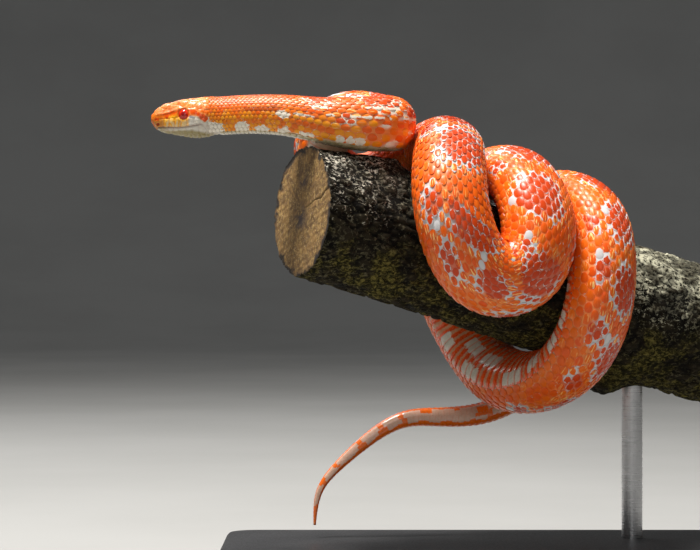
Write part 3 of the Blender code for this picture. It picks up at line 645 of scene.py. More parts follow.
class Value:
    """A number or colour in a material, on which sums can be done."""

    def __init__(self, look, socket):
        self.look, self.socket = look, socket

    def __add__(self, other):
        return self.look.calculate("ADD", self, other)

    def __mul__(self, other):
        return self.look.calculate("MULTIPLY", self, other)

    def step(self, low, high, start=0.0, end=1.0):
        """Eased step as the value goes from low to high."""
        return self.look.node("ShaderNodeMapRange", "Result", {
            "Value": self, "From Min": low, "From Max": high, "To Min": start, "To Max": end},
            interpolation_type="SMOOTHSTEP")

    def over(self, start, end):
        """Eased step over the range in which most noise lies."""
        return self.step(*NOISE_RANGE, start, end)


class Look:
    """A material, with a short call for each kind of node in it."""

    def __init__(self, name, roughness=0.5, **constants):
        """Plain values go on the shader's own sockets."""
        self.material = bpy.data.materials.new(name)
        self.material.use_nodes = True
        self.tree = self.material.node_tree
        self.inputs = self.tree.nodes["Principled BSDF"].inputs
        for socket, value in {"Roughness": roughness, **constants}.items():
            self.inputs[socket.replace("_", " ")].default_value = value

    def node(self, kind, output, inputs=(), **settings):
        """Output of a new node, each of its inputs set to a value or joined to one."""
        made = self.tree.nodes.new(kind)
        for key, value in settings.items():
            setattr(made, key, value)
        for key, value in dict(inputs).items():
            if isinstance(value, Value):
                self.tree.links.new(value.socket, made.inputs[key])
            else:
                made.inputs[key].default_value = value
        return Value(self, made.outputs[output])

    def stored(self, name, output="Fac"):
        """What is stored at each vertex under a name."""
        return self.node("ShaderNodeAttribute", output, attribute_name=name)

    def tone(self, name):
        return self.stored(name, "Color")

    def stretched(self, scale):
        """Place on the object, each of its axes scaled."""
        return self.node("ShaderNodeMapping", 0, {"Vector": self.place(), "Scale": scale})

    def place(self):
        return self.node("ShaderNodeTexCoord", "Object")

    def noise(self, scale, detail=3.0, roughness=0.55, place=None, distortion=0.0):
        return self.node("ShaderNodeTexNoise", "Fac", {
            "Scale": scale, "Detail": detail, "Roughness": roughness, "Distortion": distortion,
            "Vector": place or self.place()})

    def calculate(self, operation, first, second=0.0):
        return self.node("ShaderNodeMath", 0, {0: first, 1: second}, operation=operation)

    def mix(self, share, first, second):
        """Colour between two others, the inputs 6 and 7 of the node."""
        first, second = [end if isinstance(end, Value) else (*end, 1) for end in (first, second)]
        return self.node("ShaderNodeMix", 2, {0: share, 6: first, 7: second}, data_type="RGBA")

    def painted(self, colour, *layers):
        for share, tone in layers:
            colour = self.mix(share, colour, tone)
        return colour

    def done(self, colour, roughness=None, height=None, strength=0.0, distance=0.0):
        """Joins up the shader, with a bump of some strength, so many metres deep."""
        fed = {"Base Color": colour}
        if roughness:
            fed["Roughness"] = roughness
        if height:
            fed["Normal"] = self.node("ShaderNodeBump", "Normal", {
                "Height": height, "Strength": strength, "Distance": distance})
        for socket, value in fed.items():
            self.tree.links.new(value.socket, self.inputs[socket])
        return self.material


def scale_material():
    """Scales: coloured middles, pale streaks and white rims near the edges of the markings."""
    look = Look("snake_scales", 0.34, Coat_Weight=0.42, Coat_Roughness=0.32, Specular_IOR_Level=0.06)
    wander = look.noise(900.0, 2.0).over(-0.5, 0.5)
    inside = (look.stored("blotch") + wander).step(-0.15, 0.15)
    streak = look.noise(1.0, 1.0, 0.5, look.stored("streak", "Vector")).step(0.56, 0.64)
    whitened = look.stored("rimward") + look.stored("whiteness") + wander * 0.3
    colour = look.painted(
        look.mix(inside, look.tone("ground"), look.tone("red")),
        (streak * look.stored("streakiness"), PALE_YELLOW),
        (look.stored("radius").step(0.84, 1.0, 0.0, 0.45), look.tone("skin")),
        (whitened.step(0.92, 1.06), look.mix(look.stored("warm"), WHITE, NECK_WHITE)))
    return look.done(colour, look.noise(2500.0, 2.0).over(0.26, 0.42), look.noise(2200.0), 0.25, 0.0002)


def body_skin_material():
    """Thin skin between the scales, with the same markings, paler, and white at their edges."""
    look = Look("snake_skin", 0.5, Coat_Weight=0.12, Coat_Roughness=0.3, Specular_IOR_Level=0.2)
    edge = look.stored("blotch") + 0.2 + look.noise(700.0).over(-0.8, 0.8)
    near = look.calculate("ABSOLUTE", edge).step(2.5, 1.2) * look.stored("gate")
    near = look.calculate("MAXIMUM", near, look.stored("whiteness"))
    white = look.mix(look.stored("warm"), WHITE, NECK_WHITE)
    return look.done(look.mix(near, look.tone("skin"), white), None, look.noise(3000.0), 0.3, 0.0002)


def head_material():
    look = Look("snake_head", 0.34, Coat_Weight=0.35, Coat_Roughness=0.2, Specular_IOR_Level=0.1)
    tone = look.tone("tone")
    orange = look.noise(1400.0, 4.0).step(0.42, 0.68, 0.0, 0.35)
    colour = look.painted(tone, (orange, ORANGE), (look.stored("pale"), tone))
    return look.done(colour, look.noise(1800.0).over(0.22, 0.4), look.noise(1500.0, 4.0), 0.35, 0.0003)


def scute_material():
    """Belly: cream blocks among plates with a pale middle and orange edges."""
    look = Look("snake_scutes", 0.32, Coat_Weight=0.6, Coat_Roughness=0.1, Specular_IOR_Level=0.3)
    wander = look.noise(700.0).over(-0.7, 0.7)
    red, rear = look.tone("red"), look.stored("rear")
    cream = look.mix(look.noise(260.0).step(0.35, 0.65), look.tone("pale"), look.tone("cream"))
    cream = look.mix(rear.step(0.55, 0.95, 0.0, 0.45) * look.stored("seamed"), cream, red)
    off_middle = look.calculate("ABSOLUTE", rear + wander * 0.25)
    banded = look.calculate("MAXIMUM", off_middle.step(0.15, 0.6), look.stored("solid"))
    check = (look.stored("check") + wander).step(-0.25, 0.25)
    colour = look.mix(check, look.mix(banded, SCUTE_PINK, red), cream)
    return look.done(colour, look.noise(900.0).over(0.2, 0.36), look.noise(500.0), 0.15, 0.0004)


def eye_material():
    """Red eye of an amelanistic snake under its clear spectacle."""
    look = Look("snake_eye", 0.08, Coat_Weight=0.8, Coat_Roughness=0.02, Specular_IOR_Level=0.2)
    out = look.stored("from_gaze")
    iris = look.mix(look.noise(1500.0, 4.0).step(0.35, 0.65), IRIS, IRIS_LIGHT)
    ring = look.mix(out.step(*IRIS_EDGE), iris, EYE_RED)
    return look.done(look.mix(out.step(*PUPIL_EDGE), PUPIL, ring))


def bark_material():
    """Bark: black and brown plates with worn patches, pale flecks kept to the upper side, moss low down."""
    look = Look("bark", 0.9, Specular_IOR_Level=0.12)
    drawn_out = look.stretched((0.75, 1.0, 1.0))
    coarse = look.noise(190.0, 6.0, 0.7, drawn_out, 0.8)
    fine = look.noise(620.0, 5.0, 0.75, drawn_out, 0.5)
    along, up = look.stored("along"), look.stored("facing_up")
    tone = coarse * 0.6 + look.stored("raised") * 0.4
    worn = fine.step(0.52, 0.62) * look.noise(90.0, 4.0, 0.65).step(0.4, 0.6, 0.15, 0.8)
    fleck = fine + up * 0.16 + along.step(*FAR_BARK, 0.0, 0.08)
    fleck = fleck.step(0.675, 0.725) * look.noise(75.0, 3.0, 0.6).step(0.44, 0.62, 0.12, 1.0)
    far = look.calculate("MAXIMUM", along.step(12.0, 40.0, 1.0, 0.5), along.step(*FAR_BARK))
    mossy = look.noise(55.0, 5.0, 0.7).step(0.44, 0.58) * look.stored("mossy")
    colour = look.painted(
        look.mix(tone.step(0.36, 0.7), BARK_BLACK, BARK_BROWN),
        (worn, BARK_WORN),
        (fleck * far * up.step(0.0, 0.4), look.mix(along.step(*LICHEN_BARK), FLECK, LICHEN)),
        (mossy, look.mix(fine.step(0.44, 0.66), MOSS_DARK, MOSS)))
    return look.done(colour, None, coarse + fine, 0.9, 0.0012)


def cut_wood_material():
    """Sawn end grain: ochre, with rings, rays, grey stains round the middle and saw marks."""
    look = Look("cut_wood", 0.75)
    radial = look.stored("radial")
    ringed = look.calculate("SINE", (radial + look.noise(60.0) * 0.06) * 150.0)
    fine = look.noise(600.0, 5.0, 0.75)
    worn = radial + look.noise(200.0, 4.0).over(-0.09, 0.09)
    stained = look.stored("stain") * look.noise(110.0, 5.0, 0.75).step(0.38, 0.52)
    colour = look.painted(
        look.mix(ringed.step(-1.0, 1.0, 0.0, 0.3), OCHRE, RING_BROWN),
        (look.stored("ray").step(0.45, 0.66, 0.0, 0.85), RAY_BROWN),
        (look.noise(170.0, 5.0, 0.75).step(0.46, 0.58, 0.0, 0.8), PATCH_BROWN),
        (fine.step(0.48, 0.64, 0.0, 0.85), PALE_WOOD),
        (look.noise(1300.0, 2.0).step(0.64, 0.7) * 0.6, SPECK),
        (worn.step(0.86, 1.0, 0.0, 0.8), RIM_BROWN),
        (stained, STAIN),
        (worn.step(0.94, 1.0), RIM_BLACK),
        (look.stored("crack"), CRACK_BLACK))
    saw = look.node("ShaderNodeTexWave", "Fac", {
        "Scale": 170.0, "Distortion": 1.5, "Detail": 2.0, "Vector": look.place()},
        bands_direction="DIAGONAL")
    return look.done(colour, None, saw * 0.4 + fine, 0.5, 0.0005)


def base_material():
    look = Look("stand_enamel", 0.42, Coat_Weight=0.25, Coat_Roughness=0.3)
    grain = look.noise(1300.0, 4.0)
    colour = look.mix(look.noise(30.0, 4.0).over(0.0, 1.0), *ENAMEL)
    return look.done(colour, grain.over(0.36, 0.52), grain, 0.12, 0.0002)


def rod_material():
    """Steel brushed round its axis."""
    look = Look("stand_steel", 0.3, Metallic=1.0)
    brushed = look.noise(2500.0, 3.0, 0.6, look.stretched((0.02, 0.02, 1.0)))
    return look.done(look.mix(brushed, *STEEL), brushed.over(0.24, 0.4), brushed, 0.08, 0.0001)


def stage_material():
    look = Look("stage_pale", 0.85)
    return look.done(look.mix(look.noise(3.0, 4.0).over(0.0, 1.0), *STAGE))


# Markings

def blotches():
    """Saddles along the back and blotches on the sides: those seen, and others at their pitch."""
    saddles = list(SEEN_SADDLES)
    for before, after in zip(SEEN_SADDLES[:-1], SEEN_SADDLES[1:]):
        count = round((after[0] - before[0]) / SADDLE_PITCH)
        for step in range(1, count):
            at = before[0] + (after[0] - before[0]) * step / count
            wobble = math.sin(at * 1.7)
            saddles.append((at, 90 + 4 * wobble, SADDLE_HALF_LENGTH + wobble, SADDLE_HALF_SPREAD, 0))
    at, pitch = VENT, TAIL_SADDLE_PITCH
    while at < SNAKE_LENGTH - 8:
        at += pitch
        saddles.append((at, 90, pitch * 0.33, 55, 0))
        pitch *= TAIL_SADDLE_SHRINK
    saddles.sort()
    sides = list(SEEN_SIDE_BLOTCHES)
    for before, after in zip(saddles[:-1], saddles[1:]):
        middle = (before[0] + after[0]) / 2
        if not SIDE_BLOTCHES_REACH[0] <= middle <= SIDE_BLOTCHES_REACH[1]:
            continue
        for hand in (1, -1):
            angle = (before[1] + after[1]) / 2 - hand * SIDE_BLOTCH_FROM_BACK
            if all(abs(middle - at) > 14 or abs(angle - other) > 40 for at, other, *_ in SEEN_SIDE_BLOTCHES):
                sides.append((middle, angle, *SIDE_BLOTCH_SIZE, 0))
    return saddles + sides


def blotch_field(at, angle):
    """Distance in millimetres inside the nearest marking's edge, less than nothing outside it."""
    angle = np.degrees(angle)
    wobble = skin_noise(at, angle, 5, 16, 3) - 0.5
    field = np.full(at.shape, -20.0)
    for centre, middle, half_length, half_spread, slant in blotches():
        near = np.abs(at - centre) < half_length + 22
        across = turn_between(angle[near], middle)
        along = at[near] - centre - slant * across
        reach = (np.abs(along / half_length) ** BLOTCH_SQUARENESS
                 + np.abs(across / half_spread) ** BLOTCH_SQUARENESS) ** (1 / BLOTCH_SQUARENESS)
        inside = (1 - reach) * min(half_length, 9.0) + 2.0 * wobble[near]
        field[near] = np.maximum(field[near], inside)
    return field


def roll_at(at):
    """Roll of the body, and degrees from the middle of its back to the belly's edge."""
    return table(BODY_ROLL, at)[0], 180 + EDGE_OVERLAP - table(SCUTE_HALF_SPREAD, at)[0]


def flank(at, angle):
    """0 along the back, 1 at the belly's edge."""
    roll, edge = roll_at(at)
    return np.clip(np.abs(turn_between(np.degrees(angle), 90 + roll)) / edge, 0, 1)


def ground_colour(at, angle, tint):
    """Orange between the markings: yellower low on the flanks and on the neck."""
    low = flank(at, angle)
    neck = ramp(at, 130, 50)
    share = np.clip(0.06 + 0.16 * low + 0.6 * neck * low ** 2 + 0.4 * (tint - 0.5), 0, 1)
    golden = ramp(at, 48, 34) * ramp(low, 0.45, 0.8) * (0.35 + 0.5 * tint)
    later = ramp(at, 122, 106) * ramp(low, 0.4, 0.65) * ramp(tint, 0.25, 0.75)
    return painted(ORANGE, (share, YELLOW), (np.maximum(golden, 0.7 * later), GOLD_ORANGE))


def red_colour(at, angle, tint):
    share = np.clip(0.25 + 0.5 * (1 - flank(at, angle)) + 0.5 * (tint - 0.5), 0, 1)
    return painted(
        mixed(0.35, RED, ORANGE), (share, mixed(0.4, RED, DEEP_RED)),
        (0.75 * ramp(at, 114, 90), mixed(0.36, ORANGE, RED)), (ramp(at, 64, 60), STRIPE))


def white_field(at, angle):
    """Distance inside the nearest white place, in shares of its size."""
    angle = np.degrees(angle)
    field = np.full(at.shape, -5.0)
    for centre, middle, half_length, half_spread in WHITE_PLACES:
        reach = np.hypot((at - centre) / half_length, turn_between(angle, middle) / half_spread)
        field = np.maximum(field, 1 - reach)
    return field + 0.9 * (skin_noise(at, angle, 1.3, 6, 8) - 0.5)


def border_gate(at, angle):
    """1 where a marking has a white border and 0 where it has none."""
    return ramp(skin_noise(at, np.degrees(angle), 8, 26, 5), 0.38, 0.5) * ramp(at, 60, 66)


def warmth(at):
    """1 on the neck, where white is warmer, and 0 farther on."""
    return ramp(at, 135, 105)


def skin_colour(at, angle, field):
    """Thin skin: the markings' colours, paler."""
    pale = 0.15 + 0.75 * ramp(skin_noise(at, np.degrees(angle), 9, 24, 6, 1.0), 0.3, 0.7)
    belly = ramp(flank(at, angle), 0.95, 1) * ramp(at, 1065, 1045)
    under = mixed(ramp(at, VENT - 20, VENT + 20), CREAM, TAIL_PINK)
    return painted(
        ground_colour(at, angle, MIDDLE_TINT),
        (pale, PALE_ORANGE),
        (smooth(field + 0.5), mixed(0.65, red_colour(at, angle, MIDDLE_TINT), PINK)),
        (belly, under))


# Head

def mouth_table():
    """Angles up from the side at which the mouth's line lies, along the head."""
    at = np.linspace(0, 34, 69)
    angles = np.radians(np.arange(-84, 42, 2))
    line = []
    for place in at:
        reach, middle = head_section(np.full(angles.shape, place), angles)
        line.append(np.degrees(np.interp(table(MOUTH, place)[0], middle + reach * np.sin(angles), angles)))
    return at, np.array(line)


def head_points(at, angle):
    """Places in the head's own frame: behind the snout, to the side, up."""
    reach, middle = head_section(at, angle)
    return np.stack([at, reach * np.cos(angle), middle + reach * np.sin(angle)], -1)


def shields():
    """Every shield of the head as a kind and its spots, one side for both."""
    found = [*HEAD_SHIELDS.items(), *CHIN_SHIELDS.items()]
    found += [("upper_lip", [(at, UPPER_LIP_ANGLE)]) for at in UPPER_LIP_PLACES]
    found += [("lower_lip", [(at, LOWER_LIP_ANGLE)]) for at in LOWER_LIP_PLACES]
    for row, at in enumerate(THROAT_ROWS):
        limit = LOWER_LIP_ANGLE - 9 if at < 24 else 50
        for angle in -90 + 9.5 * np.arange(9) + 4.75 * (row % 2):
            if angle < limit and (at > 25 or angle < -60):
                found.append(("throat", [(at, angle)]))
    for row, at in enumerate(NAPE_ROWS):
        found += [("nape", [(at, angle)]) for angle in -45 + 9 * np.arange(16) + 4.5 * (row % 2)]
    return found


def nearest_shields(points, below_mouth):
    """For each point its shield's kind, and how far it is from the nearest seam."""
    spots = []
    number = 0
    for kind, places in shields():
        for hand in (1,) if kind in LONE_SHIELDS else (1, -1):
            spots += [(kind, number, at, angle if hand > 0 else 180 - angle) for at, angle in places]
            number += 1
    kinds, numbers, behind, angles = map(np.array, zip(*spots))
    places = head_points(behind, np.radians(angles))
    on_throat = behind > THROAT_START
    lower = np.isin(kinds, LOWER_SHIELDS)
    upper = ~lower | on_throat
    lower = lower | on_throat
    best = np.full(len(points), 1e3)
    second = best.copy()
    owner, spot = np.zeros((2, len(points)), int)
    for index, place in enumerate(places):
        away = np.linalg.norm(points - place, axis=1)
        if kinds[index] == "rostral":
            away = np.maximum(away - ROSTRAL_REACH, 0)
        away = away + OTHER_JAW_AWAY * np.where(below_mouth, not lower[index], not upper[index])
        same = owner == numbers[index]
        closer = away < best
        second = np.where(closer & ~same, best, np.where(~same & (away < second), away, second))
        owner = np.where(closer, numbers[index], owner)
        spot = np.where(closer, index, spot)
        best = np.minimum(best, away)
    return kinds[spot], (second - best) / 2


def mark_field(points, marks):
    """Distance inside the nearest red mark of the head, in its own frame, both sides alike."""
    points = np.stack([points[:, 0], np.abs(points[:, 1]), points[:, 2]], -1)
    field = np.full(len(points), -9.0)
    for start, end, half_width in marks:
        start, end = np.array(start), np.array(end)
        share = np.clip(((points - start) @ (end - start)) / ((end - start) @ (end - start)), 0, 1)
        away = np.linalg.norm(points - start - share[:, None] * (end - start), axis=1)
        field = np.maximum(field, half_width - away)
    return field


class HeadSkin:
    """Places on the head's skin, and how near each is to the lines and openings in it."""

    def __init__(self, at, angle):
        self.points = head_points(at, angle)
        self.at, self.sideways, self.up = self.points.T
        self.turn = folded(angle)
        self.beside = np.abs(self.sideways) > 3
        mouth_at, mouth_turn = mouth_table()
        from_mouth = np.radians(self.turn - np.interp(at, mouth_at, mouth_turn))
        self.from_mouth = from_mouth * np.linalg.norm(self.points[:, 1:], axis=1)
        self.kinds, self.seam = nearest_shields(self.points, self.from_mouth < 0)
        self.mouth_depth = table(MOUTH, at)[1]
        self.mouth = bell(self.from_mouth, 0.3) * smooth(self.mouth_depth / 0.3)
        self.from_eye = np.hypot(at - EYE_OPENING_BEHIND, self.up - EYE_HEIGHT)
        self.rim = self.beside * ramp(self.from_eye, EYE_RIM, EYE_OPENING)
        self.sunk = self.beside * ramp(self.from_eye, EYE_OPENING, EYE_OPENING - 0.5)
        nose = np.hypot((at - NOSTRIL_BEHIND_SNOUT) / NOSTRIL_RADII[0],
                        (self.up - NOSTRIL_HEIGHT) / NOSTRIL_RADII[1])
        self.nose = np.where(np.abs(self.sideways) > 1.5, nose, 9)
        self.pit = np.maximum(1 - self.nose ** 2, 0)
        self.above_edge = self.up - np.interp(at, *np.array(SNOUT_EDGE).T)
        self.on_edge = ramp(at, 1, 2.5) * ramp(at, 14.2, 12.7) * self.beside
        self.net, self.broad, self.fleck = [
            layered_noise(self.points / size, 2, seed) for size, seed in HEAD_GRAINS]

    def lift(self):
        """How far shields, lips and rims stand up, and seams, mouth, nostrils and sockets lie low."""
        lift = 0.15 * smooth(self.seam / 1.3) - SEAM_DEPTH * bell(self.seam, SEAM_WIDTH)
        tiny = np.isin(self.kinds, ("throat", "nape"))
        lift = lift + np.where(tiny, 0.14 * smooth(self.seam / 0.7) - 0.1, 0)
        swollen = 0.44 * bell(np.abs(self.from_mouth) - 0.8, 0.55)
        lift = lift + self.mouth_depth * (swollen - 1.25 * self.mouth)
        ridge = self.beside * bell(self.from_eye - 3.1, 0.42)
        lift = lift - EYE_RIM_DEPTH * self.rim - EYE_SOCKET_DEPTH * self.sunk + 0.12 * ridge
        lift = lift - NOSTRIL_DEPTH * self.pit ** 0.6 + 0.1 * bell(self.nose - 1.35, 0.3)
        return lift + 0.24 * self.on_edge * bell(self.above_edge, 0.6)

    def crown(self):
        """Colour of the upper side: orange and gold, with a pale net, pale flecks under a painted sheen on
        top, a painted highlight along the edge of the snout, and painted shade below that edge at the snout's
        front.
        """
        upper = ramp(self.up, 0.5, 2.5)
        network = ramp(np.abs(self.net - 0.5), 0.07, 0.02)
        lore = bell(self.at - 10.2, 2.8) * bell(self.up + 1.4, 1.1)
        # Low at the front of the snout, below its edge, where painted shade goes.
        tip = ramp(self.at, 4.6, 2.4) * ramp(self.up, 1.2, -0.3)
        return painted(
            mixed(0.12, ORANGE, GOLD),
            (0.75 * ramp(self.broad, 0.35, 0.75), mixed(0.4, ORANGE, GOLD)),
            # Peach on top: pale flecks, under a painted sheen from the light above.
            (upper * (0.12 + 0.4 * ramp(self.fleck, 0.45, 0.65)), PEACH_SHEEN),
            (0.35 * network * upper, PALE_YELLOW),
            # Peach along the snout's edge: a painted highlight.
            (0.45 * self.on_edge * bell(self.above_edge - 0.5, 0.8), PEACH_SHEEN),
            (np.clip(1.3 * lore, 0, 1), GOLD),
            # Khaki: painted shade under the snout's edge.
            (0.6 * tip, mixed(0.25, mixed(0.3, ORANGE, GOLD), KHAKI_SHADE)))

    def upper_lip(self):
        """Colour of the upper lip: white behind, barred with gold under the eye, with khaki painted shade in
        front.
        """
        yellowed = ramp(self.at, 17.8, 16.3) * ramp(self.at, 4.5, 6.0)
        bars = np.stack([self.at / 0.62, self.up / 2.4, np.sign(self.sideways)], -1)
        golden = ramp(layered_noise(bars, 2, 14), 0.42, 0.54) * (0.6 + 0.4 * ramp(self.up, -4.9, -3.7))
        high = ramp(self.up, -3.3, -2.3) * ramp(self.at, 19, 17)
        return painted(
            LIP_WHITE,
            (0.55 * yellowed, LIP_GOLD),
            (0.95 * yellowed * golden, mixed(0.25, GOLD, ORANGE)),
            (0.55 * yellowed * high, GOLD),
            (0.4 * bell(self.seam, 0.15) * yellowed, mixed(0.5, ORANGE, RED)),
            # Khaki: painted shade at the front of the lip.
            (ramp(self.at, 6.4, 4.8), mixed(0.4, mixed(0.35, ORANGE, GOLD), KHAKI_SHADE)))

    def underside(self):
        """Where the head is pale: below the mouth, behind the eye and low on the neck."""
        behind_eye = ramp(self.at, 16.8, 18) * smooth((-0.4 - self.up + 0.12 * (18 - self.at)) / 0.8)
        low_neck = smooth((10 * (self.net - 0.5) - 30 - self.turn) / 5)
        return np.max([(self.from_mouth < 0) * ramp(self.at, 30, 27), behind_eye * ramp(self.at, 29, 26),
                       low_neck * ramp(self.at, 24, 27)], axis=0)

    def throat(self):
        """Colour of the pale places, shaded low on the jaw."""
        jaw_edge = -5.7 - 0.06 * np.maximum(self.at - 8, 0) - 0.12 * np.maximum(self.at - 18, 0)
        # Painted shade: khaki low on the jaw and at its front.
        shaded = np.maximum(smooth((jaw_edge - self.up) / 1.2), 0.75 * ramp(self.at, 8.5, 5.5))
        pinkish = np.where(self.kinds == "lower_lip", ramp(self.at, 13, 9) + 0.3, 0.2)
        return painted(
            mixed(0.5 * ramp(self.net, 0.35, 0.75), LIP_WHITE, CREAM),
            (0.9 * shaded, KHAKI_SHADE),
            (0.5 * bell(self.seam, 0.16) * pinkish, SEAM_PINK))

    def looks(self):
        """Colour of the skin, and where fine orange grain is left off it."""
        lips = self.kinds == "upper_lip"
        pale = self.underside()
        colour = mixed(pale, np.where(lips[:, None], self.upper_lip(), self.crown()), self.throat())
        field = mark_field(self.points, HEAD_MARKS) + 1.1 * (self.net - 0.5) + 0.6 * (self.fleck - 0.5)
        edge = ramp(field, -0.7, -0.4) * ramp(field, 0.2, 0) * (self.at > 16)
        under_eye = np.hypot((self.at - 18.4) / 1.3, (self.up + 1.4) / 0.5)
        spot = smooth((mark_field(self.points, [CORNER_SPOT]) + 0.4 * (self.net - 0.5)) / 0.3)
        crease = bell(self.seam, 0.16) * (1 - pale) * ~lips
        colour = painted(
            colour,
            (0.3 * edge, PALE_YELLOW),
            (0.97 * ramp(field, -0.2, 0.2), mixed(0.35 + 0.5 * ramp(self.net, 0.3, 0.7), RED, ORANGE)),
            (ramp(under_eye, 1.2, 0.8) * self.beside, WHITE),
            (spot, mixed(0.5, ORANGE, RED)),
            (0.22 * crease, RED),
            (0.6 * self.mouth, MOUTH_RED),
            (smooth(self.pit / 0.25), NOSTRIL_RED),
            (0.6 * self.rim * (1 - self.sunk), EYE_RIM_RED))
        return colour, np.clip(pale + lips + spot, 0, 1)


# Pieces

def snout_cap(first):
    """Places that close the skin in front of its first ring."""
    middle = first.mean(0)
    ahead = route.frames(np.array([0.0]))[1][0]
    rings = [middle + share * (first - middle) - ahead * bulge for share, bulge in SNOUT_CAP]
    return np.concatenate([[middle - ahead * SNOUT_BULGE], *rings])


def skin_faces(body_rings):
    """Faces of the head, then those of the joint to the body's fewer columns and of the body."""
    rings = [1 + HEAD_COLUMNS * i for i in range(len(SNOUT_CAP) + HEAD_RINGS)]
    head_faces = flipped(fan(0, 1, HEAD_COLUMNS)) + tube(rings, HEAD_COLUMNS)
    start = rings[-1] + HEAD_COLUMNS
    every = HEAD_COLUMNS // BODY_COLUMNS
    body_faces = []
    for j in range(BODY_COLUMNS):
        fine = [rings[-1] + (j * every + i) % HEAD_COLUMNS for i in range(every, -1, -1)]
        body_faces.append((*fine, start + j, start + (j + 1) % BODY_COLUMNS))
    rings = [start + BODY_COLUMNS * i for i in range(body_rings)]
    body_faces += tube(rings, BODY_COLUMNS)
    body_faces += flipped([tuple(range(rings[-1], rings[-1] + BODY_COLUMNS))])
    return head_faces, body_faces


def make_skin():
    """One skin from the snout to the tail's tip, lying under the coat by its depth."""
    head_angle, body_angle = [np.radians(np.linspace(-90, 270, columns, endpoint=False))
                              for columns in (HEAD_COLUMNS, BODY_COLUMNS)]
    at, angle = every_pair(np.linspace(0, 1, HEAD_RINGS) ** SNOUT_CROWDING * HEAD_SKIN_END, head_angle)
    head = HeadSkin(at, angle)
    head_places = surface(at, angle, head.lift() - SKIN_DEPTH * ramp(at, 25, 28))
    cap_places = snout_cap(head_places[:HEAD_COLUMNS])
    cap_angle = np.concatenate([[0], np.tile(head_angle, len(SNOUT_CAP))])
    cap = HeadSkin(np.zeros(len(cap_angle)), cap_angle)
    rings = np.append(np.arange(HEAD_SKIN_END + BODY_RING_STEP, SNAKE_LENGTH - 0.5, BODY_RING_STEP),
                      SNAKE_LENGTH - 0.2)
    body_at, around = every_pair(rings, body_angle)
    width = route.read(route.girth, body_at)[:, 0]
    body_places = surface(body_at, around, -SKIN_DEPTH * np.minimum(width / 20, 1))
    head_faces, body_faces = skin_faces(len(rings))
    skin = new_piece("skin", np.concatenate([cap_places, head_places, body_places]),
                     head_faces + body_faces, [head_material(), body_skin_material()],
                     second_from=len(head_faces))
    all_at = np.concatenate([cap.at, at, body_at])
    all_angle = np.concatenate([cap_angle, angle, around])
    field = blotch_field(all_at, all_angle)
    field[:-len(body_at)] = -9.0
    tone, pale = head.looks()
    store(skin, blotch=field, skin=skin_colour(all_at, all_angle, field),
          whiteness=smooth(white_field(all_at, all_angle) / 0.2 + 0.5),
          gate=border_gate(all_at, all_angle), warm=warmth(all_at),
          tone=np.concatenate([cap.looks()[0], tone, np.full((len(body_at), 3), 0.5)]),
          pale=np.concatenate([np.zeros(len(cap.at)), pale, np.ones(len(body_at))]))
    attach(skin, "root")
    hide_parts(*FLESH)


def scale_counter():
    """How many scale pitches lie between the snout and each place."""
    at = np.linspace(20, SNAKE_LENGTH, 4000)
    pitch, = table(SCALE_PITCH, at)
    counts = np.concatenate([[0], np.cumsum(np.diff(at) / ((pitch[1:] + pitch[:-1]) / 2))])
    return at, counts


def row_angle(row, at):
    """Angle and spread of a row of scales, and how far it is past the last. Row 0 is the back's."""
    each_side, = table(ROWS_EACH_SIDE, at)
    roll, edge = roll_at(at)
    share = np.abs(row) / (each_side + 0.5)
    turn = edge * (BACK_ROW_SHARE * share + (1 - BACK_ROW_SHARE) * share ** 3)
    spread = edge * (BACK_ROW_SHARE + 3 * (1 - BACK_ROW_SHARE) * share ** 2) / (each_side + 0.5)
    return 90 + roll - np.sign(row) * turn, spread, np.abs(row) - each_side


def coat_places():
    """Each scale's place, angle, pitch, width, and distance from the route, by place."""
    counter_at, counts = scale_counter()
    places = []
    for row in range(-MOST_ROWS, MOST_ROWS + 1):
        at = np.interp(np.arange(0, counts[-1] - 1) + 0.5 * (row % 2), counts, counter_at)
        angle, spread, beyond = row_angle(row, at)
        start = COAT_START + 1.2 * np.cos(np.radians(angle - 90)) * (angle > 0)
        keep = (beyond < 0.4) & (at > start) & (at < SNAKE_LENGTH - 2.5)
        keep &= (at > BELLY_START) | (angle > -66) & (angle < 226)
        at, angle, spread = at[keep], np.radians(angle[keep]), np.radians(spread[keep])
        reach = np.hypot(*section(at, angle))
        places.append(np.stack([at, angle, table(SCALE_PITCH, at)[0], spread * reach, reach], -1))
    places = np.concatenate(places)
    return places[np.argsort(places[:, 0], kind="stable")]


def scale_template():
    """One scale: rows of (along, across, distance from its middle), their heights, and its faces."""
    turn = np.linspace(0, 2 * math.pi, SCALE_SIDES, endpoint=False)
    edge = superellipse(turn, 1, 1, SCALE_SQUARENESS)
    rings = (*SCALE_RINGS, 0.97)
    ring, turn = every_pair(rings, turn)
    along = ring * np.tile(edge, len(rings)) * np.cos(turn)
    over = ring * np.tile(edge, len(rings)) * np.sin(turn) * (1 - SCALE_TAPER * along)
    points = np.concatenate([[(0, 0, 0)], np.stack([along, over, ring], -1)])
    along, _, ring = points.T
    height = SCALE_FRONT + (SCALE_REAR - SCALE_FRONT) * (0.5 + 0.5 * along)
    height = height + SCALE_DOME * (1 - ring ** 2) ** 0.8
    height[-SCALE_SIDES:] = SCALE_FRONT - 0.15
    starts = [1 + SCALE_SIDES * i for i in range(len(rings))]
    faces = flipped(fan(0, 1, SCALE_SIDES)) + tube(starts, SCALE_SIDES)
    faces += flipped([tuple(range(starts[-1], starts[-1] + SCALE_SIDES))])
    return points, height, faces


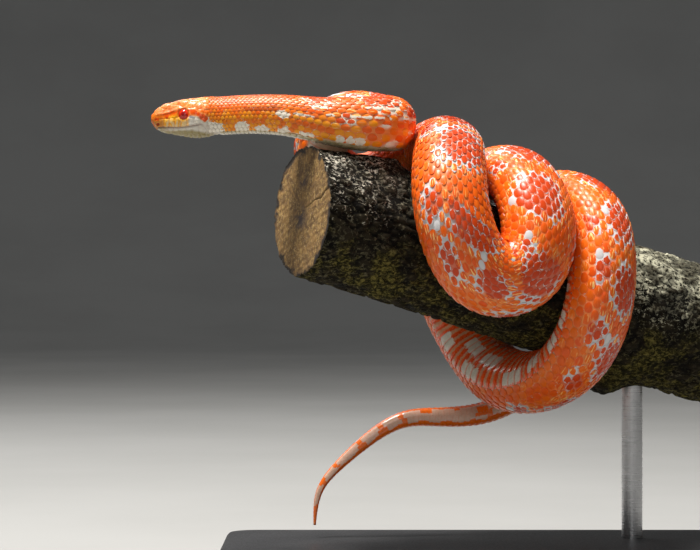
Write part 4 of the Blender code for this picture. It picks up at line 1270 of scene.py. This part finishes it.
def colour_scales(coat, template, at, angle, centre, white):
    """Colours that differ from scale to scale, and where each is white or streaked."""
    along, over, ring = template.T
    size = len(template)
    tint, pick = random.uniform(0, 1, len(at)), random.uniform(0, 1, len(at))
    lean = random.uniform(0, 2 * math.pi, len(at))
    gate = border_gate(at, angle)
    outside = bell(centre + 0.9, 1.1) * (0.15 + 0.5 * tint)
    border = np.where(centre > 0, 0.12 + 0.25 * bell(centre - 0.6, 1.4), outside) * gate
    border = np.where((pick > 0.86) & (np.abs(centre + 1.3) < 0.9) & (gate > 0.5), 1.5, border)
    one_side = 0.35 * ring + 0.6 * (np.outer(np.cos(lean), along) + np.outer(np.sin(lean), over))
    rimward = 0.75 * np.where(centre[:, None] > 0, ring, one_side) + 0.25 * one_side
    streaky = bell(centre + 1.8, 2.0) * (centre < 0.2) * (0.4 + 0.6 * gate) + 0.3 * (tint > 0.85)
    streak = np.outer(tint, (90, 40, 70))[:, None] + template * (0.6, 2.4, 0)
    store(coat, whiteness=np.maximum(each(border, size), 1.9 * white), rimward=rimward.ravel(),
          ground=each(ground_colour(at, angle, tint), size), red=each(red_colour(at, angle, tint), size),
          streakiness=each(np.clip(streaky, 0, 1), size), streak=streak.reshape(-1, 3))


def make_scales(name, material, at, angle, pitch, across, reach):
    """Scales at places along the body, as one joined piece."""
    template, height, faces = scale_template()
    along, over, ring = template.T
    size = len(template)
    pulled = stretch(at, angle)
    half_length = 0.5 * SCALE_LENGTH_SHARE * pitch * np.clip(pulled, *SCALE_PULL) / pulled
    half_length = half_length * random.uniform(0.96, 1.04, len(at))
    half_width = 0.5 * SCALE_WIDTH_SHARE * across * random.uniform(0.96, 1.03, len(at))
    v_at = np.clip(at[:, None] + np.outer(half_length, along), 1.0, SNAKE_LENGTH - 0.1).ravel()
    v_angle = (angle[:, None] - np.outer(half_width / reach, over)).ravel()
    lift = np.outer(np.clip(across / FULL_SCALE_WIDTH, 0.12, 1.15), height).ravel()
    coat = new_piece(name, surface(v_at, v_angle, lift), copies(faces, len(at), size), [material], 55)
    centre = blotch_field(at, angle)
    store(coat, blotch=0.45 * blotch_field(v_at, v_angle) + 0.55 * each(centre, size),
          radius=np.tile(ring, len(at)), warm=each(warmth(at), size),
          skin=each(skin_colour(at, angle, centre), size))
    colour_scales(coat, template, at, angle, centre, smooth(2 * white_field(v_at, v_angle) + 0.5))
    root = np.stack([(at - half_length) / SNAKE_LENGTH, (angle / (2 * math.pi)) % 1.0], -1)
    bake_map(coat, (root[:, None] + template[:, :2] * BAKE_PATCH / 2).reshape(-1, 2))
    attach(coat, "root")


def make_coat():
    """Scales in overlapping rows over the skin, joined into a few pieces along the body."""
    material = scale_material()
    for number, group in enumerate(np.array_split(coat_places(), COAT_PIECES)):
        make_scales(f"coat_{number + 1}", material, *group.T)


def plate_template():
    """One plate seen from below as rows of (along, across, height), and its faces."""
    width = SCUTE_COLUMNS + 1
    rows = SCUTE_PROFILE + [(0.97, UNDERSIDE_HEIGHT), (-1.0, UNDERSIDE_HEIGHT)]
    points = np.array([(along, over, height) for along, height in rows for over in np.linspace(-1, 1, width)])
    starts = [row * width for row in range(len(rows))]
    faces = tube(starts + [0], width, closed=False)
    return points, faces + [tuple(starts[::-1]), tuple(start + width - 1 for start in starts)]


def colour_plates(plates, over, at):
    """Colours along the belly, from the cream neck to the pink and orange tail."""
    size = len(over)
    neck, tail = ramp(at, 90, 180), ramp(at, VENT - 60, VENT)
    pale = painted(BELLY_CREAM, (neck, LIP_WHITE), (tail, TAIL_PINK))
    # At the front of the neck the cream is mixed with khaki, painted shade under the neck.
    cream = mixed(tail, mixed(0.4, mixed(neck, KHAKI_SHADE, CREAM), pale), TAIL_CREAM)
    seamed = ramp(at, 90, 150) * (0.3 + 0.7 * ramp(at, VENT + 60, VENT))
    edge = np.maximum(0.5 + 0.5 * np.abs(over), ramp(at, VENT - 40, VENT + 20)[:, None])
    orange = mixed(ramp(at, VENT, VENT + 30), ORANGE, TAIL_ORANGE)
    store(plates, pale=each(pale, size), cream=each(cream, size), seamed=each(seamed, size),
          red=mixed(edge.ravel(), RED, each(orange, size)))


def make_plates(name, at, pitch, middle, half_spread, block_field, solid, material):
    """Plates across the belly at places along it, as one joined piece."""
    template, faces = plate_template()
    along, over, height = template.T
    size = len(template)
    pulled = stretch(at, np.radians(middle))
    half_length = PLATE_HALF_LENGTH_SHARE * pitch * np.clip(pulled, *PLATE_PULL) / pulled
    ends = (1 - np.abs(over) ** 9) ** 0.5
    v_at = np.clip(at[:, None] + np.outer(half_length, along * (0.55 + 0.45 * ends)), 1, SNAKE_LENGTH - 0.1)
    v_angle = middle[:, None] + np.outer(half_spread, over)
    thick = np.clip(route.read(route.girth, at)[:, 0] / FULL_BODY_WIDTH, 0.15, 1.1)
    points = surface(v_at.ravel(), np.radians(v_angle.ravel()), np.outer(thick, height).ravel())
    plates = new_piece(name, points, copies(faces, len(at), size), [material], 50)
    turn = turn_between(v_angle, -90 + roll_at(at)[0][:, None])
    store(plates, check=block_field(at[:, None], turn).ravel(),
          solid=np.where(np.abs(turn) > BELLY_EDGE, 1.0, solid).ravel(),
          rear=np.tile(along, len(at)))
    colour_plates(plates, over, at)
    root = np.stack([each(at, size) / SNAKE_LENGTH, (v_angle.ravel() / 360) % 1.0], -1)
    root[:, 0] += np.tile(along, len(at)) * BAKE_PATCH / 2
    bake_map(plates, root)
    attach(plates, "root")


def belly_blocks(at, turn):
    """Distance inside a cream block of the belly: two columns of them, by turns, behind a cream neck."""
    field = np.full(turn.shape, -3.0)
    angle = (turn - 90 + roll_at(at)[0]) % 360
    for place, half_length, centre, half_spread in SEEN_BLOCKS:
        across = (half_spread - np.abs(turn_between(angle, centre))) / 4
        field = np.maximum(field, np.where(np.abs(at - place) < half_length, across, -3.0))
    hidden = (at < SEEN_BELLY[0]) | (at > SEEN_BELLY[1])
    for hand, half_step in ((1, 0.5), (-1, 0.0)):
        steps = (at - BLOCK_START) / BLOCK_PITCH + half_step
        number = np.round(steps)
        away = np.abs((steps - number) * BLOCK_PITCH + 2.0 * np.sin(number * 12.9 + hand))
        along = BLOCK_HALF_LENGTH + 1.2 * np.sin(number * 4.1 + hand) - away
        inner = BLOCK_INNER + 3 * np.sin(number * 2.3 + hand)
        outer = BLOCK_OUTER + 3 * np.sin(number * 5.7)
        across = np.minimum(hand * turn - inner, outer - hand * turn) / 4
        field = np.maximum(field, np.where((along > 0) & hidden, across, -3.0))
    neck = ramp(at, 215, 125)
    at_edge = (BELLY_EDGE + 2 - np.abs(turn)) / 4
    return np.minimum(np.maximum(field, 6 * neck - 3), np.where(neck > 0.4, 3.0, at_edge))


def tail_blocks(at, turn):
    """Distance inside the pinkish middle of the tail's underside, between orange bars and edges."""
    edge = np.where(turn > 0, TAIL_LOWER_EDGE + 7 * np.sin(at / 1.9), TAIL_EDGE)
    field = (edge - np.abs(turn)) / 5
    for place, half_length, side, reach in TAIL_BARS:
        across = (np.abs(turn - side) - reach) / 5
        field = np.where(np.abs(at - place) < half_length, np.minimum(field, across), field)
    return np.where(at > TAIL_ALL_ORANGE, -2.0, field)


def make_belly():
    """Ventral scutes to the vent, and paired ones under the tail."""
    material = scute_material()
    counter_at, counts = scale_counter()
    every = np.interp(np.arange(1, counts[-1]), counts, counter_at)
    at = every[(every > BELLY_START) & (every < VENT)]
    make_plates("belly_scutes", at, table(SCALE_PITCH, at)[0], -90 + roll_at(at)[0],
                table(SCUTE_HALF_SPREAD, at)[0], belly_blocks, 0.0, material)
    at = every[(every >= VENT) & (every < SNAKE_LENGTH - 2)]
    pitch, = table(SCALE_PITCH, at)
    middle, half = -90 + roll_at(at)[0], table(SCUTE_HALF_SPREAD, at)[0] / 2
    make_plates("tail_scutes", np.concatenate([at, at + 0.5 * pitch]), np.tile(pitch, 2),
                np.concatenate([middle + half, middle - half]), np.tile(half + 0.5, 2),
                tail_blocks, 1.0, material)


def make_eyes():
    """Two eyeballs that look a little ahead, coloured by the angle from their gaze."""
    material = eye_material()
    place, ahead, side, back, _ = [row[0] for row in route.frames(np.array([EYE_BEHIND_SNOUT]))]
    rings = [1 + EYE_SEGMENTS * i for i in range(EYE_RINGS - 1)]
    faces = flipped(fan(0, 1, EYE_SEGMENTS)) + tube(rings, EYE_SEGMENTS)
    faces += fan(rings[-1] + EYE_SEGMENTS, rings[-1], EYE_SEGMENTS)
    polar, turn = every_pair(np.pi * np.arange(1, EYE_RINGS) / EYE_RINGS,
                             2 * np.pi * np.arange(EYE_SEGMENTS) / EYE_SEGMENTS)
    for name, hand in (("left", 1), ("right", -1)):
        gaze = unit(hand * side - 0.18 * ahead + 0.03 * back)
        across = unit(np.cross(gaze, back))
        ring = np.outer(np.cos(turn), across) + np.outer(np.sin(turn), np.cross(across, gaze))
        ring = ring * np.sin(polar)[:, None] + np.outer(np.cos(polar), gaze)
        centre = place + hand * EYE_OUT * side + EYE_HEIGHT * back
        points = centre + EYE_RADIUS * np.concatenate([[gaze], ring, [-gaze]])
        eye = new_piece(name + "_eyeball", points, faces, [material])
        store(eye, from_gaze=np.concatenate([[0], np.degrees(polar), [180]]))
        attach(eye, "root")
        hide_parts(name + "_eye")


def bark_relief(along, around):
    """How far the bark's surface lies under the part's, and how raised each place is."""
    points = on_branch(along, around, BRANCH_HALF_WIDTH)
    ridges = np.stack([points @ ALONG / 6, points @ FRONT / 3.0, points @ TOP / 3.0], -1)
    plates = np.abs(layered_noise(ridges, 3, 21) - 0.5) * 2
    lumps = layered_noise(points / 7, 3, 22)
    fine = layered_noise(points / 1.6, 2, 23)
    raised = np.clip(0.55 * smooth(plates / 0.45) + 0.3 * lumps + 0.25 * fine, 0, 1.1)
    return BARK_RELIEF * (1.05 - raised), raised


def sawn_along(lean, turn, reach):
    """How far along the branch each place of a sawn end lies."""
    middle, front, top = lean
    angle = np.radians(turn)
    return middle + (front * np.cos(angle) + top * np.sin(angle)) * reach / BRANCH_HALF_WIDTH


def sawn_end(outline, turns, near):
    """Places of a sawn end from its rim to its middle, their shares of the way out, and the crack."""
    lean = CUT_LEAN if near else (BRANCH_LENGTH, 0, 0)
    share, turn = every_pair(np.linspace(1, 0, CUT_RINGS)[1:-1], turns)
    reach = share * np.tile(outline, CUT_RINGS - 2)
    places = on_branch(sawn_along(lean, turn, reach), turn, reach)
    wander = 2.2 * np.sin(reach / 4.0) + 1.2 * np.sin(reach / 1.7)
    away = np.radians(turn_between(turn, CRACK_ANGLE + wander)) * reach
    crack = bell(away, CRACK_WIDTH) * ramp(reach, 3, 7) * near
    grain = layered_noise(places / 2.2, 3, 31) - 0.5
    inward = 1.2 * crack + 0.25 * grain * ramp(share, 1, 0.95) if near else -0.2 * grain
    places = places + inward[:, None] * ALONG
    return np.concatenate([places, [lean[0] * ALONG]]), np.append(share, 0), np.append(crack, 0)


def end_faces(rim, start):
    """Faces of a sawn end, from the rim over its own rings to its middle."""
    rings = [rim] + [start + BRANCH_COLUMNS * i for i in range(CUT_RINGS - 2)]
    return tube(rings, BRANCH_COLUMNS) + fan(rings[-1] + BRANCH_COLUMNS, rings[-1], BRANCH_COLUMNS)


def make_branch():
    """Branch with bark, a sawn face with its rings and crack, and a sawn far end."""
    turns = np.linspace(0, 360, BRANCH_COLUMNS, endpoint=False)
    step, turn = every_pair(np.linspace(0, 1, BRANCH_ROWS), turns)
    along = sawn_along(CUT_LEAN, turn, BRANCH_HALF_WIDTH) * (1 - step) + BRANCH_LENGTH * step
    depth, raised = bark_relief(along, turn)
    radius = branch_radius(along, turn) - depth
    sides = on_branch(along, turn, radius), np.ones(len(turn)), np.zeros(len(turn))
    near = sawn_end(radius[:BRANCH_COLUMNS], turns, True)
    far = sawn_end(radius[-BRANCH_COLUMNS:], turns, False)
    points, radial, crack = [np.concatenate(parts) for parts in zip(sides, near, far)]
    rows = [BRANCH_COLUMNS * i for i in range(BRANCH_ROWS)]
    bark_faces = tube(rows, BRANCH_COLUMNS)
    faces = bark_faces + flipped(end_faces(rows[0], len(turn)))
    faces += end_faces(rows[-1], len(turn) + len(near[0]))
    branch = new_piece("branch", points, faces, [bark_material(), cut_wood_material()], 60,
                       second_from=len(bark_faces))
    length, across, upward = points @ ALONG, points @ FRONT, points @ TOP
    turned = np.degrees(np.arctan2(upward, across))
    rays = np.stack([turned / 5, np.hypot(across, upward) / 14, length / 30], -1)
    stain = np.maximum(bell(across + 1, 6) * bell(upward + 3, 6),
                       bell(across + 3, 4.5) * bell(upward - 14, 4.5))
    store(branch, radial=radial, crack=crack, ray=layered_noise(rays, 3, 41),
          stain=np.where(length < 10, stain, 0.4))
    upness = np.sin(np.radians(turn))
    # How far each place of the bark faces up; the pale flecks lie only on the upper side.
    for name, values in (("raised", raised), ("facing_up", smooth(0.35 + 0.8 * upness)),
                         ("mossy", ramp(upness, 0.15, -0.45)), ("along", along)):
        store(branch, **{name: np.concatenate([values, np.zeros(len(points) - len(turn))])})
    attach(branch, "root")
    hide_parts("perch")


# Studio

def make_stage():
    """Pale floor that curves up into a pale wall all round."""
    bend = np.radians(np.linspace(10, 90, 9))
    spread = BOWL_WALL - BOWL_FLOOR
    radius = np.concatenate([[0.0, 1.2, BOWL_FLOOR], BOWL_FLOOR + spread * np.sin(bend), [BOWL_WALL]])
    height = np.concatenate([[0.0, 0.0, 0.0], spread * (1 - np.cos(bend)), [BOWL_HEIGHT]])
    row, turn = every_pair(np.arange(len(radius)), 2 * math.pi * np.arange(BOWL_SIDES) / BOWL_SIDES)
    points = np.stack([radius[row] * np.cos(turn), radius[row] * np.sin(turn), height[row]], -1)
    rings = [BOWL_SIDES * i for i in range(len(radius))]
    floor = new_mesh("floor", points, tube(rings, BOWL_SIDES), [stage_material()])


def make_light(name, place, size, power, colour):
    """Soft square light at a place in metres, facing the model."""
    lamp = bpy.data.lights.new(name, "AREA")
    lamp.size = size
    lamp.energy = power
    lamp.color = colour
    way = unit(np.array(LIT_PLACE) - np.array(place))
    across = unit(np.cross(way, (0, 0, 1)))
    rotation = np.stack([across, np.cross(across, way), -way], 1)
    link(name, lamp).matrix_world = Matrix(
        [(*rotation[i], place[i]) for i in range(3)] + [(0, 0, 0, 1)])


def make_camera():
    camera = bpy.data.cameras.new("camera")
    camera.lens = LENS
    camera.sensor_width = SENSOR
    camera.dof.use_dof = False
    camera.clip_start, camera.clip_end = CLIP
    holder = link("camera", camera)
    holder.location = (np.array(CAMERA_PLACE) + CUT_FACE_CENTRE) * MM
    holder.rotation_euler = (math.pi / 2, 0, 0)
    bpy.context.scene.camera = holder


def make_studio():
    scene = bpy.context.scene
    world = bpy.data.worlds.new("daylight")
    world.use_nodes = True
    background = world.node_tree.nodes["Background"]
    background.inputs["Color"].default_value = SKY
    background.inputs["Strength"].default_value = SKY_STRENGTH
    scene.world = world
    scene.view_settings.view_transform = "Standard"
    make_stage()
    for light in LIGHTS:
        make_light(*light)
    make_camera()


route = Route()
make_skin()
make_coat()
make_belly()
make_eyes()
make_branch()
for node_name, finish in (("stand_base", base_material()), ("stand_rod", rod_material())):
    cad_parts[node_name].data.materials.clear()
    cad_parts[node_name].data.materials.append(finish)
make_studio()
